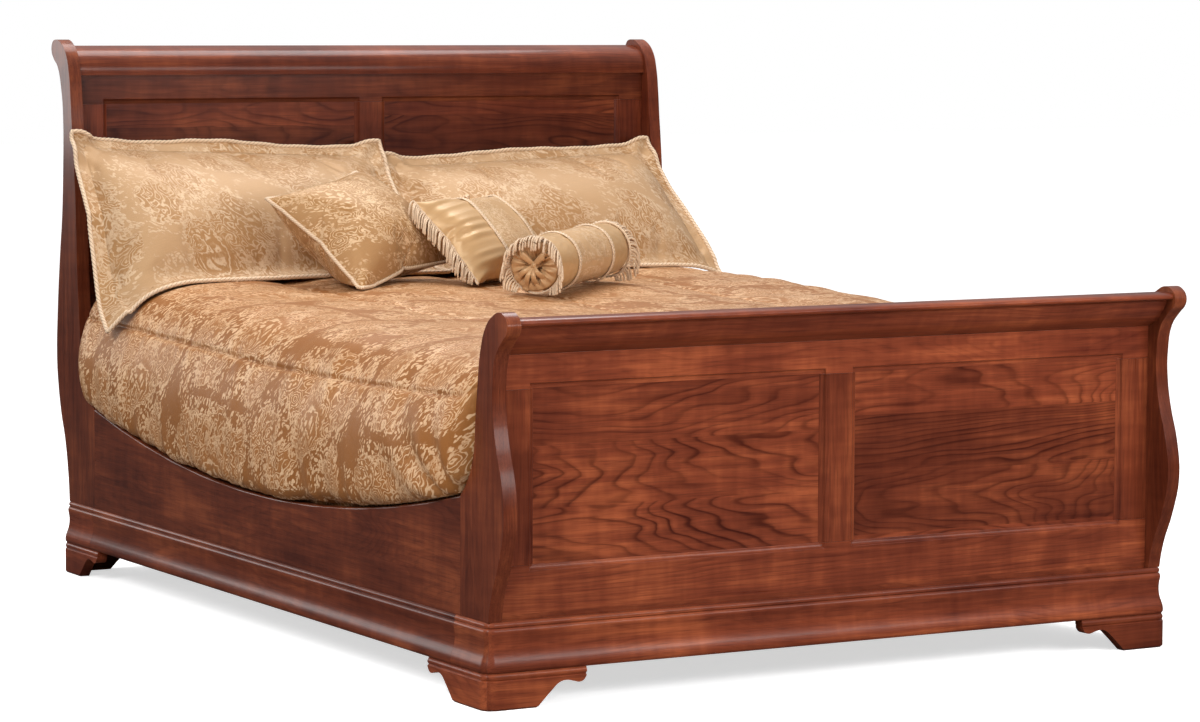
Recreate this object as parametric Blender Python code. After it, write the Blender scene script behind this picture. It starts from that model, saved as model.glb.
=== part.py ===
"""Panelled sleigh bed with bracket feet, made up with a comforter, two shams and three cushions.

Metres, +Z up. The origin is on the floor under the middle of the bed; the foot end
faces -Y, the head end +Y and +X is the right-hand side seen from the foot.
"""

import math

import bmesh
import bpy
import numpy as np
from mathutils import Matrix, Vector

GAP = 0.0003

# base: a moulding runs all round the bed and is let into the posts and rails
HALF_WIDTH = 0.840
HALF_LENGTH = 1.106
MOULD_DEPTH = 0.0265
MOULD_BOTTOM = 0.0744
MOULD_TOP = 0.1740
JOINT_FOOT = -0.957
JOINT_HEAD = 0.930
FOOT_REACH = 0.230
SIDE_REACH = {-1: 0.250, 1: 0.222}

# posts and side rails
POST_OUT = 0.826
POST_THICK = 0.031
POST_IN = POST_OUT - POST_THICK
RAIL_FOOT = -0.9735
RAIL_HEAD = 0.9265
RAIL_LOW = 0.311
RAIL_END = 0.415

# panelled frames
INSIDE = POST_IN - GAP
STILE_EDGE = 0.727
FOOT_FACE = -1.079
FOOT_FRAME = 0.022
FOOT_RAIL_TOP = 0.2695
FOOT_TOP_RAIL = 0.643
FOOT_CREST = 0.7005
HEAD_FACE = 1.094
HEAD_FRAME = 0.019
HEAD_RAIL_LOW = 0.620
HEAD_RAIL_TOP = 0.740
HEAD_TOP_RAIL = 1.1555
HEAD_CREST = 1.2135
STICKING = 0.012
PANEL_SINK = 0.009

# bedding
BED_HALF = 0.760
BED_FOOT = -1.030
BED_HEAD = 1.002
SLAT_TOP = 0.2143
FOUNDATION_TOP = 0.4250
MATTRESS_TOP = 0.6720

MATERIALS = {
    "cherry": ((0.23, 0.065, 0.030), 0.28, 0.0),
    "softwood": ((0.55, 0.38, 0.20), 0.60, 0.0),
    "steel": ((0.33, 0.31, 0.29), 0.40, 1.0),
    "ticking": ((0.80, 0.77, 0.70), 0.85, 0.0),
    "damask": ((0.58, 0.36, 0.19), 0.55, 0.0),
    "satin": ((0.66, 0.46, 0.27), 0.35, 0.0),
}


def clear_scene():
    for obj in list(bpy.data.objects):
        bpy.data.objects.remove(obj, do_unlink=True)


def new_collection(name):
    group = bpy.data.collections.new(name)
    bpy.context.scene.collection.children.link(group)
    return group


def material(slot):
    """The Principled material of a slot, made on first use."""
    if slot in bpy.data.materials:
        return bpy.data.materials[slot]
    colour, rough, metal = MATERIALS[slot]
    made = bpy.data.materials.new(slot)
    made.use_nodes = True
    shader = made.node_tree.nodes["Principled BSDF"]
    shader.inputs["Base Color"].default_value = (*colour, 1.0)
    shader.inputs["Roughness"].default_value = rough
    shader.inputs["Metallic"].default_value = metal
    made.diffuse_color = (*colour, 1.0)
    return made


def add_mesh(name, bm, slot, sharp=32.0, group=None):
    """Links a bmesh as one named object with its material and smooth shading."""
    bmesh.ops.remove_doubles(bm, verts=bm.verts, dist=0.00003)
    bmesh.ops.recalc_face_normals(bm, faces=bm.faces)
    mesh = bpy.data.meshes.new(name)
    bm.to_mesh(mesh)
    bm.free()
    obj = bpy.data.objects.new(name, mesh)
    (group or BED).objects.link(obj)
    if slot:
        mesh.materials.append(material(slot))
    mesh.shade_smooth()
    mesh.set_sharp_from_angle(angle=math.radians(sharp))
    return obj


def bevel_edges(bm, width, segments, keep=None, angle=28.0):
    """Rounds the sharp edges, all of them or the ones that keep() picks."""
    bm.edges.ensure_lookup_table()
    bmesh.ops.recalc_face_normals(bm, faces=bm.faces)
    limit = math.radians(angle)
    picked = []
    for edge in bm.edges:
        if len(edge.link_faces) == 2 and edge.calc_face_angle(0.0) > limit:
            if keep is None or keep(edge):
                picked.append(edge)
    bmesh.ops.bevel(bm, geom=picked, offset=width, segments=segments, profile=0.5,
                    affect="EDGES", clamp_overlap=True)


def box(name, low, high, slot, ease=0.0, segments=2, group=None):
    """A box between two corners with eased edges."""
    bm = bmesh.new()
    bmesh.ops.create_cube(bm, size=1.0)
    low = Vector(low)
    high = Vector(high)
    size = high - low
    bmesh.ops.scale(bm, vec=size, verts=bm.verts)
    bmesh.ops.translate(bm, vec=(low + high) / 2, verts=bm.verts)
    if ease:
        bevel_edges(bm, ease, segments)
    return add_mesh(name, bm, slot, group=group)


def outline_mesh(points, half, resolution, frame):
    """Fills a closed 2D outline, extrudes it by half each way and returns it as a bmesh.

    A point is (u, v) for a smooth point or (u, v, 1) for a corner; frame turns the
    curve's own axes into the world's.
    """
    data = bpy.data.curves.new("outline", "CURVE")
    data.dimensions = "2D"
    data.fill_mode = "BOTH"
    data.extrude = half
    data.resolution_u = resolution
    data.render_resolution_u = 0
    spline = data.splines.new("BEZIER")
    spline.bezier_points.add(len(points) - 1)
    for knot, point in zip(spline.bezier_points, points):
        knot.co = (point[0], point[1], 0.0)
        corner = len(point) > 2
        knot.handle_left_type = "VECTOR" if corner else "AUTO"
        knot.handle_right_type = "VECTOR" if corner else "AUTO"
    spline.use_cyclic_u = True
    obj = bpy.data.objects.new("outline", data)
    bpy.context.scene.collection.objects.link(obj)
    depsgraph = bpy.context.evaluated_depsgraph_get()
    mesh = bpy.data.meshes.new_from_object(obj.evaluated_get(depsgraph))
    bm = bmesh.new()
    bm.from_mesh(mesh)
    bpy.data.meshes.remove(mesh)
    bpy.data.objects.remove(obj, do_unlink=True)
    bpy.data.curves.remove(data)
    bmesh.ops.remove_doubles(bm, verts=bm.verts, dist=0.00005)
    bm.transform(frame)
    return bm


def side_frame(x):
    """Outline axes (y, z) seen along X, centred on the given x."""
    return Matrix(((0, 0, 1, x), (1, 0, 0, 0), (0, 1, 0, 0), (0, 0, 0, 1)))


def loft(name, rings, slot, group=None, sharp=32.0, ease=None):
    """Skins a list of equal closed rings and caps both ends."""
    bm = bmesh.new()
    made = []
    for ring in rings:
        made.append([bm.verts.new(point) for point in ring])
    count = len(made[0])
    for first, second in zip(made, made[1:]):
        for i in range(count):
            j = (i + 1) % count
            bm.faces.new((first[i], first[j], second[j], second[i]))
    bm.faces.new(made[0])
    bm.faces.new(list(reversed(made[-1])))
    if ease:
        bevel_edges(bm, ease, 2)
    return add_mesh(name, bm, slot, sharp=sharp, group=group)


def cut(obj, cutter):
    """Subtracts a hidden cutter."""
    modifier = obj.modifiers.new("cut_" + cutter.name, "BOOLEAN")
    modifier.operation = "DIFFERENCE"
    modifier.solver = "EXACT"
    modifier.object = cutter


def hide_cutter(obj):
    obj.hide_render = True
    obj.display_type = "WIRE"
    return obj


# ---------------------------------------------------------------- profiles

def moulding_profile():
    """Base moulding as (inset from the toe plane, height): rounded toe, cove, shoulder and bead."""
    points = [(MOULD_DEPTH, MOULD_BOTTOM), (0.0042, MOULD_BOTTOM), (0.0012, 0.0768), (0.0, 0.0805), (0.0002, 0.0855),
              (0.0014, 0.0915), (0.0040, 0.0990), (0.0070, 0.1070), (0.0092, 0.1160), (0.0102, 0.1255),
              (0.0102, 0.1340), (0.0093, 0.1425), (0.0079, 0.1495), (0.0073, 0.1540), (0.0080, 0.1580),
              (0.0100, 0.1610)]
    points.append((0.0126, 0.1626))
    points += [(0.0100, 0.1645), (0.0095, 0.1675), (0.0105, 0.1708), (0.0128, MOULD_TOP - 0.0008)]
    points.append((0.0140, MOULD_TOP))
    points.append((MOULD_DEPTH, MOULD_TOP))
    return points


def bracket_profile():
    """Bracket foot board as (inset, height), with the small bead under the moulding."""
    top = MOULD_BOTTOM - GAP
    return [(MOULD_DEPTH, 0.0), (0.0040, 0.0), (0.0, 0.0040), (0.0, 0.0580), (0.0033, 0.0603),
            (0.0014, 0.0626), (0.0006, 0.0662), (0.0014, 0.0698), (0.0033, 0.0718),
            (0.0033, top), (MOULD_DEPTH, top)]


def station_ring(profile, pivot, direction):
    """One section of a run: points at the profile's inset inside the toe line."""
    ring = []
    for inset, z in profile:
        reach = MOULD_DEPTH - inset
        ring.append((pivot[0] + reach * direction[0], pivot[1] + reach * direction[1], z))
    return ring


def corner_stations(side, end, across):
    """Stations from a corner's mitre round its eased edge, on the run across the end or along the side."""
    pivot = (side * (HALF_WIDTH - MOULD_DEPTH), end * (HALF_LENGTH - MOULD_DEPTH))
    away = (-side, end) if across else (side, -end)
    stations = []
    for turn in np.linspace(45.0, 90.0 if across else 0.0, 4):
        a = math.radians(float(turn))
        stations.append((pivot, (side * math.cos(a), end * math.sin(a))))
    slip = GAP * 0.3536
    stations[0] = ((pivot[0] + away[0] * slip, pivot[1] + away[1] * slip), stations[0][1])
    return stations


def base_moulding(name, end):
    """The run across one end of the bed, mitred at both corners."""
    profile = moulding_profile()
    left = [station_ring(profile, *station) for station in corner_stations(-1, end, True)]
    right = [station_ring(profile, *station) for station in corner_stations(1, end, True)]
    return loft(name, left + list(reversed(right)), "cherry", sharp=24.0)


def return_moulding(name, side, end, joint):
    """The short run from a corner mitre back to the joint with the side run."""
    profile = moulding_profile()
    rings = [station_ring(profile, *station) for station in corner_stations(side, end, False)]
    rings.append(station_ring(profile, (side * (HALF_WIDTH - MOULD_DEPTH), joint), (side, 0.0)))
    return loft(name, rings, "cherry", sharp=24.0)


def side_moulding(name, side):
    profile = moulding_profile()
    across = side * (HALF_WIDTH - MOULD_DEPTH)
    rings = [station_ring(profile, (across, y), (side, 0.0)) for y in (JOINT_FOOT + GAP, JOINT_HEAD - GAP)]
    return loft(name, rings, "cherry", sharp=24.0)


def bracket_cutter(name, side, end, along_x, reach):
    """The scroll sawn out of a bracket board, as (distance back from the board's tip, height)."""
    scroll = [(0.114, -0.020, 1), (0.114, 0.0, 1), (0.080, 0.0330), (0.063, 0.0470), (0.047, 0.0505),
              (0.031, 0.0475), (0.0175, 0.0445), (0.0080, 0.0475), (0.0015, 0.0560, 1),
              (0.0010, 0.0640, 1), (-0.0300, 0.0640, 1), (-0.0300, -0.020, 1)]
    points = [(reach - p[0],) + p[1:] for p in scroll]
    if along_x:
        placed = [(side * (HALF_WIDTH - p[0]), p[1]) + tuple(p[2:]) for p in points]
        y = end * (HALF_LENGTH - MOULD_DEPTH / 2)
        frame = Matrix(((1, 0, 0, 0), (0, 0, -1, y), (0, 1, 0, 0), (0, 0, 0, 1)))
    else:
        placed = [(end * (HALF_LENGTH - p[0]), p[1]) + tuple(p[2:]) for p in points]
        frame = side_frame(side * (HALF_WIDTH - MOULD_DEPTH / 2))
    bm = outline_mesh(placed, 0.020, 4, frame)
    return hide_cutter(add_mesh(name, bm, None, group=CUTTERS))


def bracket_foot(side, end, name):
    """Two boards mitred round the corner, each with its scroll sawn out."""
    profile = bracket_profile()
    back = (side * (HALF_WIDTH - MOULD_DEPTH), end * (HALF_LENGTH - MOULD_DEPTH))
    for part, across in (("_end", True), ("_side", False)):
        rings = [station_ring(profile, *station) for station in corner_stations(side, end, across)]
        reach = FOOT_REACH if across else SIDE_REACH[end]
        if across:
            tip = (side * (HALF_WIDTH - reach), back[1])
            rings.append(station_ring(profile, tip, (0.0, end)))
        else:
            tip = (back[0], end * (HALF_LENGTH - reach))
            rings.append(station_ring(profile, tip, (side, 0.0)))
        board = loft(name + part, rings, "cherry", sharp=24.0)
        cut(board, bracket_cutter(name + part + "_scroll", side, end, across, reach))


# ---------------------------------------------------------------- posts and rails

def foot_post_outline():
    """S-curved footboard post seen from the side, as (y, z)."""
    return [(-1.0890, MOULD_BOTTOM, 1), (-1.0905, 0.1700), (-1.1050, 0.2310), (-1.1330, 0.2950),
            (-1.1550, 0.3780), (-1.1450, 0.4570), (-1.1220, 0.5260), (-1.1090, 0.5900),
            (-1.1085, 0.6500), (-1.1210, 0.7040), (-1.1480, 0.7335), (-1.1660, 0.7500),
            (-1.1690, 0.7680), (-1.1540, 0.7845), (-1.1320, 0.7890), (-1.1064, 0.7793),
            (-1.0810, 0.7600), (-1.0571, 0.7090), (-1.0459, 0.6400), (-1.0360, 0.5650),
            (-1.0310, 0.5100), (-1.0157, 0.4680), (-0.9940, 0.4354),
            (RAIL_FOOT - GAP / 2, RAIL_END, 1), (RAIL_FOOT - GAP / 2, MOULD_BOTTOM, 1)]


def head_post_outline():
    """S-curved headboard post seen from the side, as (y, z)."""
    return [(1.0894, MOULD_BOTTOM, 1), (1.0900, 0.1750), (1.0980, 0.2500), (1.1160, 0.3280),
            (1.1390, 0.3885), (1.1570, 0.4635), (1.1635, 0.5250), (1.1560, 0.6400),
            (1.1380, 0.7750), (1.1220, 0.8690), (1.1120, 0.9940), (1.1100, 1.1180),
            (1.1200, 1.1800), (1.1430, 1.2350), (1.1680, 1.2540), (1.1810, 1.2720),
            (1.1760, 1.2920), (1.1540, 1.3000), (1.1190, 1.2920), (1.0870, 1.2650),
            (1.0704, 1.2226), (1.0610, 1.1650), (1.0540, 1.0950), (1.0440, 1.0150),
            (1.0330, 0.8800), (1.0270, 0.7300), (1.0160, 0.6270), (1.0060, 0.5450),
            (0.9890, 0.4900), (0.9600, 0.4470), (RAIL_HEAD + GAP / 2, RAIL_END, 1),
            (RAIL_HEAD + GAP / 2, MOULD_BOTTOM, 1)]


def arc_points(count):
    """The scooped top edge of a side rail, a shallow arc between the posts."""
    middle = (RAIL_FOOT + RAIL_HEAD) / 2
    half = (RAIL_HEAD - RAIL_FOOT) / 2
    rise = RAIL_END - RAIL_LOW
    points = []
    for y in np.linspace(RAIL_FOOT + GAP / 2, RAIL_HEAD - GAP / 2, count):
        points.append((float(y), RAIL_LOW + rise * ((float(y) - middle) / half) ** 2, 1))
    return points


def on_joint(edge, y):
    """True for an edge that lies on the joint between a post and a rail."""
    return all(abs(v.co.y - y) < 0.0004 for v in edge.verts)


def post(name, outline, side, joint):
    centre = side * (POST_OUT + POST_IN) / 2
    bm = outline_mesh(outline, POST_THICK / 2, 4, side_frame(centre))
    bevel_edges(bm, 0.0035, 2, keep=lambda e: abs(e.verts[0].co.x - e.verts[1].co.x) < 1e-6
                and not on_joint(e, joint) and max(v.co.z for v in e.verts) > 0.09)
    return add_mesh(name, bm, "cherry", sharp=26.0)


def side_rail(name, side):
    bottom = [(RAIL_HEAD - GAP / 2, MOULD_BOTTOM, 1), (RAIL_FOOT + GAP / 2, MOULD_BOTTOM, 1)]
    points = arc_points(25) + bottom
    centre = side * (POST_OUT + POST_IN) / 2
    bm = outline_mesh(points, POST_THICK / 2, 1, side_frame(centre))
    bevel_edges(bm, 0.0050, 3, keep=lambda e: min(v.co.z for v in e.verts) > 0.30
                and abs(e.verts[0].co.x - e.verts[1].co.x) < 1e-6)
    return add_mesh(name, bm, "cherry", sharp=26.0)


# ---------------------------------------------------------------- panelled frames

def rectangle(x0, x1, z0, z1, grow, y):
    return [(x0 - grow, y, z0 - grow), (x1 + grow, y, z0 - grow),
            (x1 + grow, y, z1 + grow), (x0 - grow, y, z1 + grow)]


def opening_cutter(name, x0, x1, z0, z1, face, depth, back):
    """A stepped hole: moulded edge from the face down to the panel, rebate behind it.

    depth is +1 where the face looks toward -Y; the rings run from front to back.
    """
    steps = [(0.0, -0.004), (0.0, 0.0), (-0.0012, 0.0012)]
    for turn in (20.0, 45.0, 70.0):
        a = math.radians(turn)
        steps.append((-0.0012 - 0.0090 * (1 - math.cos(a)), 0.0012 + 0.0066 * math.sin(a)))
    steps.append((-STICKING + 0.0012, 0.0078))
    steps.append((-STICKING, PANEL_SINK - GAP))
    steps.append((0.0040, PANEL_SINK - GAP))
    steps.append((0.0040, back + 0.004))
    rings = [rectangle(x0, x1, z0, z1, grow, face + depth * sink) for grow, sink in steps]
    return hide_cutter(loft(name, rings, None, group=CUTTERS))


def panelled_frame(prefix, face, thick, heights, stile_half):
    """Two rails, three stiles and two flat panels.

    heights are the frame's bottom, the two sight lines of the openings and its top.
    Each member reaches STICKING past its sight line, and the cutters mould that margin.
    """
    bottom, sight_low, sight_high, top = heights
    back = face + thick
    rail_low = sight_low + STICKING
    rail_high = sight_high - STICKING
    edge = STILE_EDGE - STICKING
    middle = stile_half + STICKING
    rails = [
        box(prefix + "_bottom_rail", (-INSIDE, face, bottom), (INSIDE, back, rail_low), "cherry"),
        box(prefix + "_top_rail", (-INSIDE, face, rail_high), (INSIDE, back, top - GAP), "cherry"),
    ]
    stiles = {}
    for where, x0, x1 in (("left", -INSIDE, -edge), ("centre", -middle, middle), ("right", edge, INSIDE)):
        stiles[where] = box(prefix + "_stile_" + where, (x0, face, rail_low + GAP),
                            (x1, back, rail_high - GAP), "cherry")
    margin = 0.0040 - GAP
    sunk = face + PANEL_SINK
    for where, x0, x1 in (("left", -STILE_EDGE, -stile_half), ("right", stile_half, STILE_EDGE)):
        cutter = opening_cutter(prefix + "_opening_" + where, x0, x1, sight_low, sight_high, face, 1, thick)
        for piece in rails + [stiles[where], stiles["centre"]]:
            cut(piece, cutter)
        box(prefix + "_panel_" + where, (x0 - margin, sunk, sight_low - margin),
            (x1 + margin, sunk + 0.0075, sight_high + margin), "cherry")
    return rails, stiles


def crest_rail(name, outline):
    """A moulded top rail: its section seen from the side, run between the posts."""
    bm = outline_mesh(outline, INSIDE, 4, side_frame(0.0))
    return add_mesh(name, bm, "cherry", sharp=26.0)


def foot_crest_outline():
    """Footboard crest section (y, z): back of the roll, flat lip, cove under it."""
    return [(FOOT_FACE, FOOT_CREST, 1), (-1.0965, 0.7085), (-1.1105, 0.7160), (-1.1250, 0.7310),
            (-1.1370, 0.7490), (-1.1440, 0.7600, 1), (-1.1600, 0.7625, 1), (-1.1635, 0.7680),
            (-1.1590, 0.7735), (-1.1450, 0.7762), (-1.1200, 0.7768), (-1.1020, 0.7715),
            (-1.0850, 0.7560), (-1.0720, 0.7360), (-1.0640, 0.7150), (FOOT_FACE + FOOT_FRAME - 0.0035, FOOT_CREST, 1)]


def head_crest_outline():
    """Headboard crest section (y, z): a bullnose that faces the pillows and rolls over the back."""
    return [(1.0835, HEAD_CREST, 1), (1.0835, 1.2330), (1.0860, 1.2460), (1.0920, 1.2580),
            (1.1020, 1.2680), (1.1170, 1.2765), (1.1400, 1.2820), (1.1600, 1.2850),
            (1.1715, 1.2800), (1.1700, 1.2660), (1.1550, 1.2560), (1.1380, 1.2450),
            (1.1240, 1.2300), (1.1160, HEAD_CREST, 1)]


clear_scene()
BED = new_collection("sleigh_bed")
CUTTERS = new_collection("cutters")


# ---------------------------------------------------------------- wooden frame

def build_ends():
    for side, hand in ((-1, "left"), (1, "right")):
        post("foot_post_" + hand, foot_post_outline(), side, RAIL_FOOT - GAP / 2)
        post("head_post_" + hand, head_post_outline(), side, RAIL_HEAD + GAP / 2)
    panelled_frame("foot", FOOT_FACE, FOOT_FRAME,
                   (MOULD_BOTTOM, FOOT_RAIL_TOP, FOOT_TOP_RAIL, FOOT_CREST), 0.0325)
    crest_rail("foot_crest_rail", foot_crest_outline())
    panelled_frame("head", HEAD_FACE, HEAD_FRAME,
                   (HEAD_RAIL_LOW, HEAD_RAIL_TOP, HEAD_TOP_RAIL, HEAD_CREST), 0.0310)
    crest_rail("head_crest_rail", head_crest_outline())
    box("head_cross_rail", (-INSIDE, 1.055, MOULD_BOTTOM), (INSIDE, 1.079, 0.400), "cherry", 0.002)


def build_base():
    for end, where, joint in ((-1, "foot", JOINT_FOOT), (1, "head", JOINT_HEAD)):
        base_moulding(where + "_base_moulding", end)
        for side, hand in ((-1, "left"), (1, "right")):
            return_moulding(where + "_return_" + hand, side, end, joint)
            bracket_foot(side, end, "bracket_" + where + "_" + hand)
    for side, hand in ((-1, "left"), (1, "right")):
        side_rail("side_rail_" + hand, side)
        side_moulding("side_moulding_" + hand, side)


def let_in_base():
    """Cuts the rebate for the base moulding out of the posts and side rails."""
    inner = HALF_WIDTH - MOULD_DEPTH - GAP
    end_line = HALF_LENGTH - MOULD_DEPTH - GAP
    top = MOULD_TOP + GAP
    for side, hand in ((-1, "left"), (1, "right")):
        x0, x1 = sorted((side * inner, side * 0.860))
        cutter = hide_cutter(box("rebate_" + hand, (x0, -1.30, 0.0), (x1, 1.30, top), None, group=CUTTERS))
        for name in ("foot_post_", "head_post_", "side_rail_"):
            cut(bpy.data.objects[name + hand], cutter)
    for end, where in ((-1, "foot"), (1, "head")):
        y0, y1 = sorted((end * end_line, end * 1.30))
        cutter = hide_cutter(box("rebate_" + where, (-0.9, y0, 0.0), (0.9, y1, top), None, group=CUTTERS))
        for hand in ("left", "right"):
            cut(bpy.data.objects[where + "_post_" + hand], cutter)


def build_platform():
    """Slats on cleats, a centre beam with two legs, and the plates that hook the side rails on."""
    cleat_top = SLAT_TOP - 0.019 - GAP
    for side, hand in ((-1, "left"), (1, "right")):
        x0, x1 = sorted((side * INSIDE, side * (INSIDE - 0.030)))
        box("slat_cleat_" + hand, (x0, -0.930, cleat_top - 0.030), (x1, 0.880, cleat_top), "softwood", 0.0015, 1)
        for joint, where in ((RAIL_FOOT, "foot"), (RAIL_HEAD, "head")):
            x0, x1 = sorted((side * INSIDE, side * (INSIDE - 0.004)))
            box("rail_bracket_" + where + "_" + hand, (x0, joint - 0.033, 0.215),
                (x1, joint + 0.033, 0.345), "steel", 0.0012, 1)
    for number, y in enumerate(np.linspace(-0.78, 0.74, 4), start=1):
        box("slat_%d" % number, (-INSIDE + GAP, float(y) - 0.045, cleat_top + GAP),
            (INSIDE - GAP, float(y) + 0.045, SLAT_TOP), "softwood", 0.002, 1)
    box("centre_beam", (-0.030, -1.050, cleat_top - 0.070), (0.030, 1.050, cleat_top), "softwood", 0.002, 1)
    for y, where in ((-0.52, "foot"), (0.48, "head")):
        box("beam_leg_" + where, (-0.025, y - 0.025, 0.0), (0.025, y + 0.025, cleat_top - 0.070 - GAP),
            "softwood", 0.002, 1)


# ---------------------------------------------------------------- bedding

def build_mattress():
    box("foundation", (-BED_HALF, BED_FOOT, SLAT_TOP + GAP), (BED_HALF, BED_HEAD, FOUNDATION_TOP - GAP),
        "ticking", 0.018, 3)
    box("mattress", (-BED_HALF, BED_FOOT, FOUNDATION_TOP), (BED_HALF, BED_HEAD, MATTRESS_TOP - GAP),
        "ticking", 0.020, 3)


def ledge(y):
    """Top of the side rail or post edge that the comforter drops behind."""
    line = [(-1.034, 0.530), (-1.031, 0.510), (-1.0157, 0.468), (-0.994, 0.4354), (RAIL_FOOT, RAIL_END)]
    for point in arc_points(13)[1:-1]:
        line.append(point[:2])
    line += [(RAIL_HEAD, RAIL_END), (0.960, 0.447), (0.989, 0.490)]
    spots = np.array(line)
    return float(np.interp(y, spots[:, 0], spots[:, 1]))


def cover_top(y):
    """Height of the comforter's top, a little higher toward the pillows."""
    return float(np.interp(y, [-1.03, -0.20, 0.02, 0.25, 0.43, 0.65], [0.696, 0.699, 0.704, 0.710, 0.715, 0.722]))


def comforter_ring(y):
    """Half-round bulge over the rails, top across the mattress, tuck beside it."""
    top = cover_top(y)
    low = ledge(y) + 0.005
    belly = [(0.8060, low), (0.8340, low + 0.010), (0.8500, low + 0.040)]
    span = top - (low + 0.040)
    for share, x in ((0.25, 0.8620), (0.50, 0.8570), (0.70, 0.8420), (0.86, 0.8130), (0.95, 0.7780),
                     (0.99, 0.7250)):
        belly.append((x, low + 0.040 + span * share))
    if y < RAIL_FOOT - 0.03 or y > RAIL_HEAD + 0.03:
        belly = [(min(x, 0.838), z) for x, z in belly]
    tuck = [(BED_HALF + 0.0008, low - 0.045), (0.7880, low - 0.045), (0.7900, low - 0.004)]
    right = tuck + belly
    inner_top = MATTRESS_TOP + 0.0006
    ring = [(x, y, z) for x, z in right]
    ring.append((0.36, y, top + 0.003))
    ring.append((-0.36, y, top + 0.003))
    ring += [(-x, y, z) for x, z in reversed(right)]
    ring.append((-BED_HALF - 0.0008, y, inner_top))
    ring.append((BED_HALF + 0.0008, y, inner_top))
    return ring


def build_comforter():
    spots = [-1.029, -1.012, -0.985, -0.945] + [float(y) for y in np.linspace(-0.85, 0.80, 12)]
    spots += [0.880, 0.930, 0.958, 0.975]
    return loft("comforter", [comforter_ring(y) for y in spots], "damask", sharp=60.0)


def cushion(name, centre, across, up, size, thick, rim, slot, droop=None, cells=(12, 10), drawn=0.05):
    """A knife-edge cushion: a flat cage whose thickness swells away from its four edges.

    across and up are the directions of its width and height; rim is the width of a flat
    flange round the stuffed part.
    """
    width, height = size
    across = Vector(across).normalized()
    up = Vector(up)
    up = (up - up.dot(across) * across).normalized()
    front = across.cross(up)
    bm = bmesh.new()
    bmesh.ops.create_grid(bm, x_segments=cells[0], y_segments=cells[1], size=0.5)
    lower = bmesh.ops.duplicate(bm, geom=bm.faces[:])
    lower_verts = {item for item in lower["geom"] if isinstance(item, bmesh.types.BMVert)}
    edges = [edge for edge in bm.edges if edge.is_boundary]
    bmesh.ops.translate(bm, vec=(0, 0, -0.004), verts=list(lower_verts))
    bmesh.ops.bridge_loops(bm, edges=edges)
    for vert in bm.verts:
        u = vert.co.x * 2
        v = vert.co.y * 2
        inner_u = min(1.0, abs(u) * (width / 2) / (width / 2 - rim))
        inner_v = min(1.0, abs(v) * (height / 2) / (height / 2 - rim))
        swell = ((1 - inner_u ** 3) * (1 - inner_v ** 3)) ** 0.6
        half = 0.004 + (thick / 2 - 0.004) * swell
        # the edges of a stuffed cushion draw in between its corners
        pull = 1.0 - drawn * (1 - v * v)
        pinch = 1.0 - drawn * (1 - u * u)
        sign = -1.0 if vert in lower_verts else 1.0
        spot = Vector(centre) + across * (u * pull * width / 2) + up * (v * pinch * height / 2)
        spot += front * (half * sign)
        if droop:
            spot += droop(u, v)
        vert.co = spot
    return add_mesh(name, bm, slot, sharp=50.0)


def build_shams():
    """Two shams that lean on the headboard; the left one's low corner hangs over the comforter's side."""
    def hang(u, v):
        near = max(0.0, (-u - 0.80) / 0.20) * max(0.0, (0.10 - v) / 1.10)
        return Vector((-0.010 * near, -0.010 * near, -0.112 * near ** 1.6))

    cushion("sham_left", (-0.432, 0.862, 0.914), (1.0, 0.0, -0.030), (0.0, 0.750, 0.660), (0.866, 0.500), 0.150,
            0.045, "damask", droop=hang, drawn=0.01)
    cushion("sham_right", (0.421, 0.862, 0.900), (1.0, 0.0, 0.0), (0.0, 0.750, 0.660), (0.826, 0.485), 0.150,
            0.045, "damask", drawn=0.01)


def lift(obj, origin):
    """Moves an object's origin to a point without moving its shape."""
    obj.data.transform(Matrix.Translation(-Vector(origin)))
    obj.location = origin
    return obj


def build_cushions():
    square = cushion("square_cushion", (-0.279, 0.590, 0.857), (0.880, 0.430, 0.150), (-0.425, 0.680, 0.595),
                     (0.360, 0.350), 0.120, 0.0, "damask", cells=(10, 10))
    lift(square, (-0.279, 0.590, 0.857))
    fringed = cushion("fringed_cushion", (0.045, 0.540, 0.826), (0.840, 0.543, 0.0), (-0.370, 0.570, 0.735),
                      (0.400, 0.265), 0.110, 0.0, "satin", cells=(10, 8))
    lift(fringed, (0.045, 0.540, 0.826))
    bm = bmesh.new()
    bmesh.ops.create_cone(bm, cap_ends=True, segments=24, radius1=0.068, radius2=0.068, depth=0.420)
    bevel_edges(bm, 0.014, 3)
    axis = Vector((0.808, 0.587, 0.040)).normalized()
    turn = Vector((0.0, 0.0, 1.0)).rotation_difference(axis)
    bolster = add_mesh("bolster", bm, "satin", sharp=50.0)
    bolster.rotation_mode = "QUATERNION"
    bolster.rotation_quaternion = turn
    bolster.location = (0.100, 0.232, 0.7945)


def main():
    build_ends()
    build_base()
    let_in_base()
    build_platform()
    build_mattress()
    build_comforter()
    build_shams()
    build_cushions()


main()
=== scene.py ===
"""Sleigh bed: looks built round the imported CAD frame. Metres, +Z up, foot end toward -Y."""

import random
from functools import lru_cache, partialmethod, reduce
from math import atan2, cos, exp, hypot, pi, radians, sin, sqrt

import bmesh
import bpy
import numpy as np
from mathutils import Matrix, Vector, noise


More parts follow.
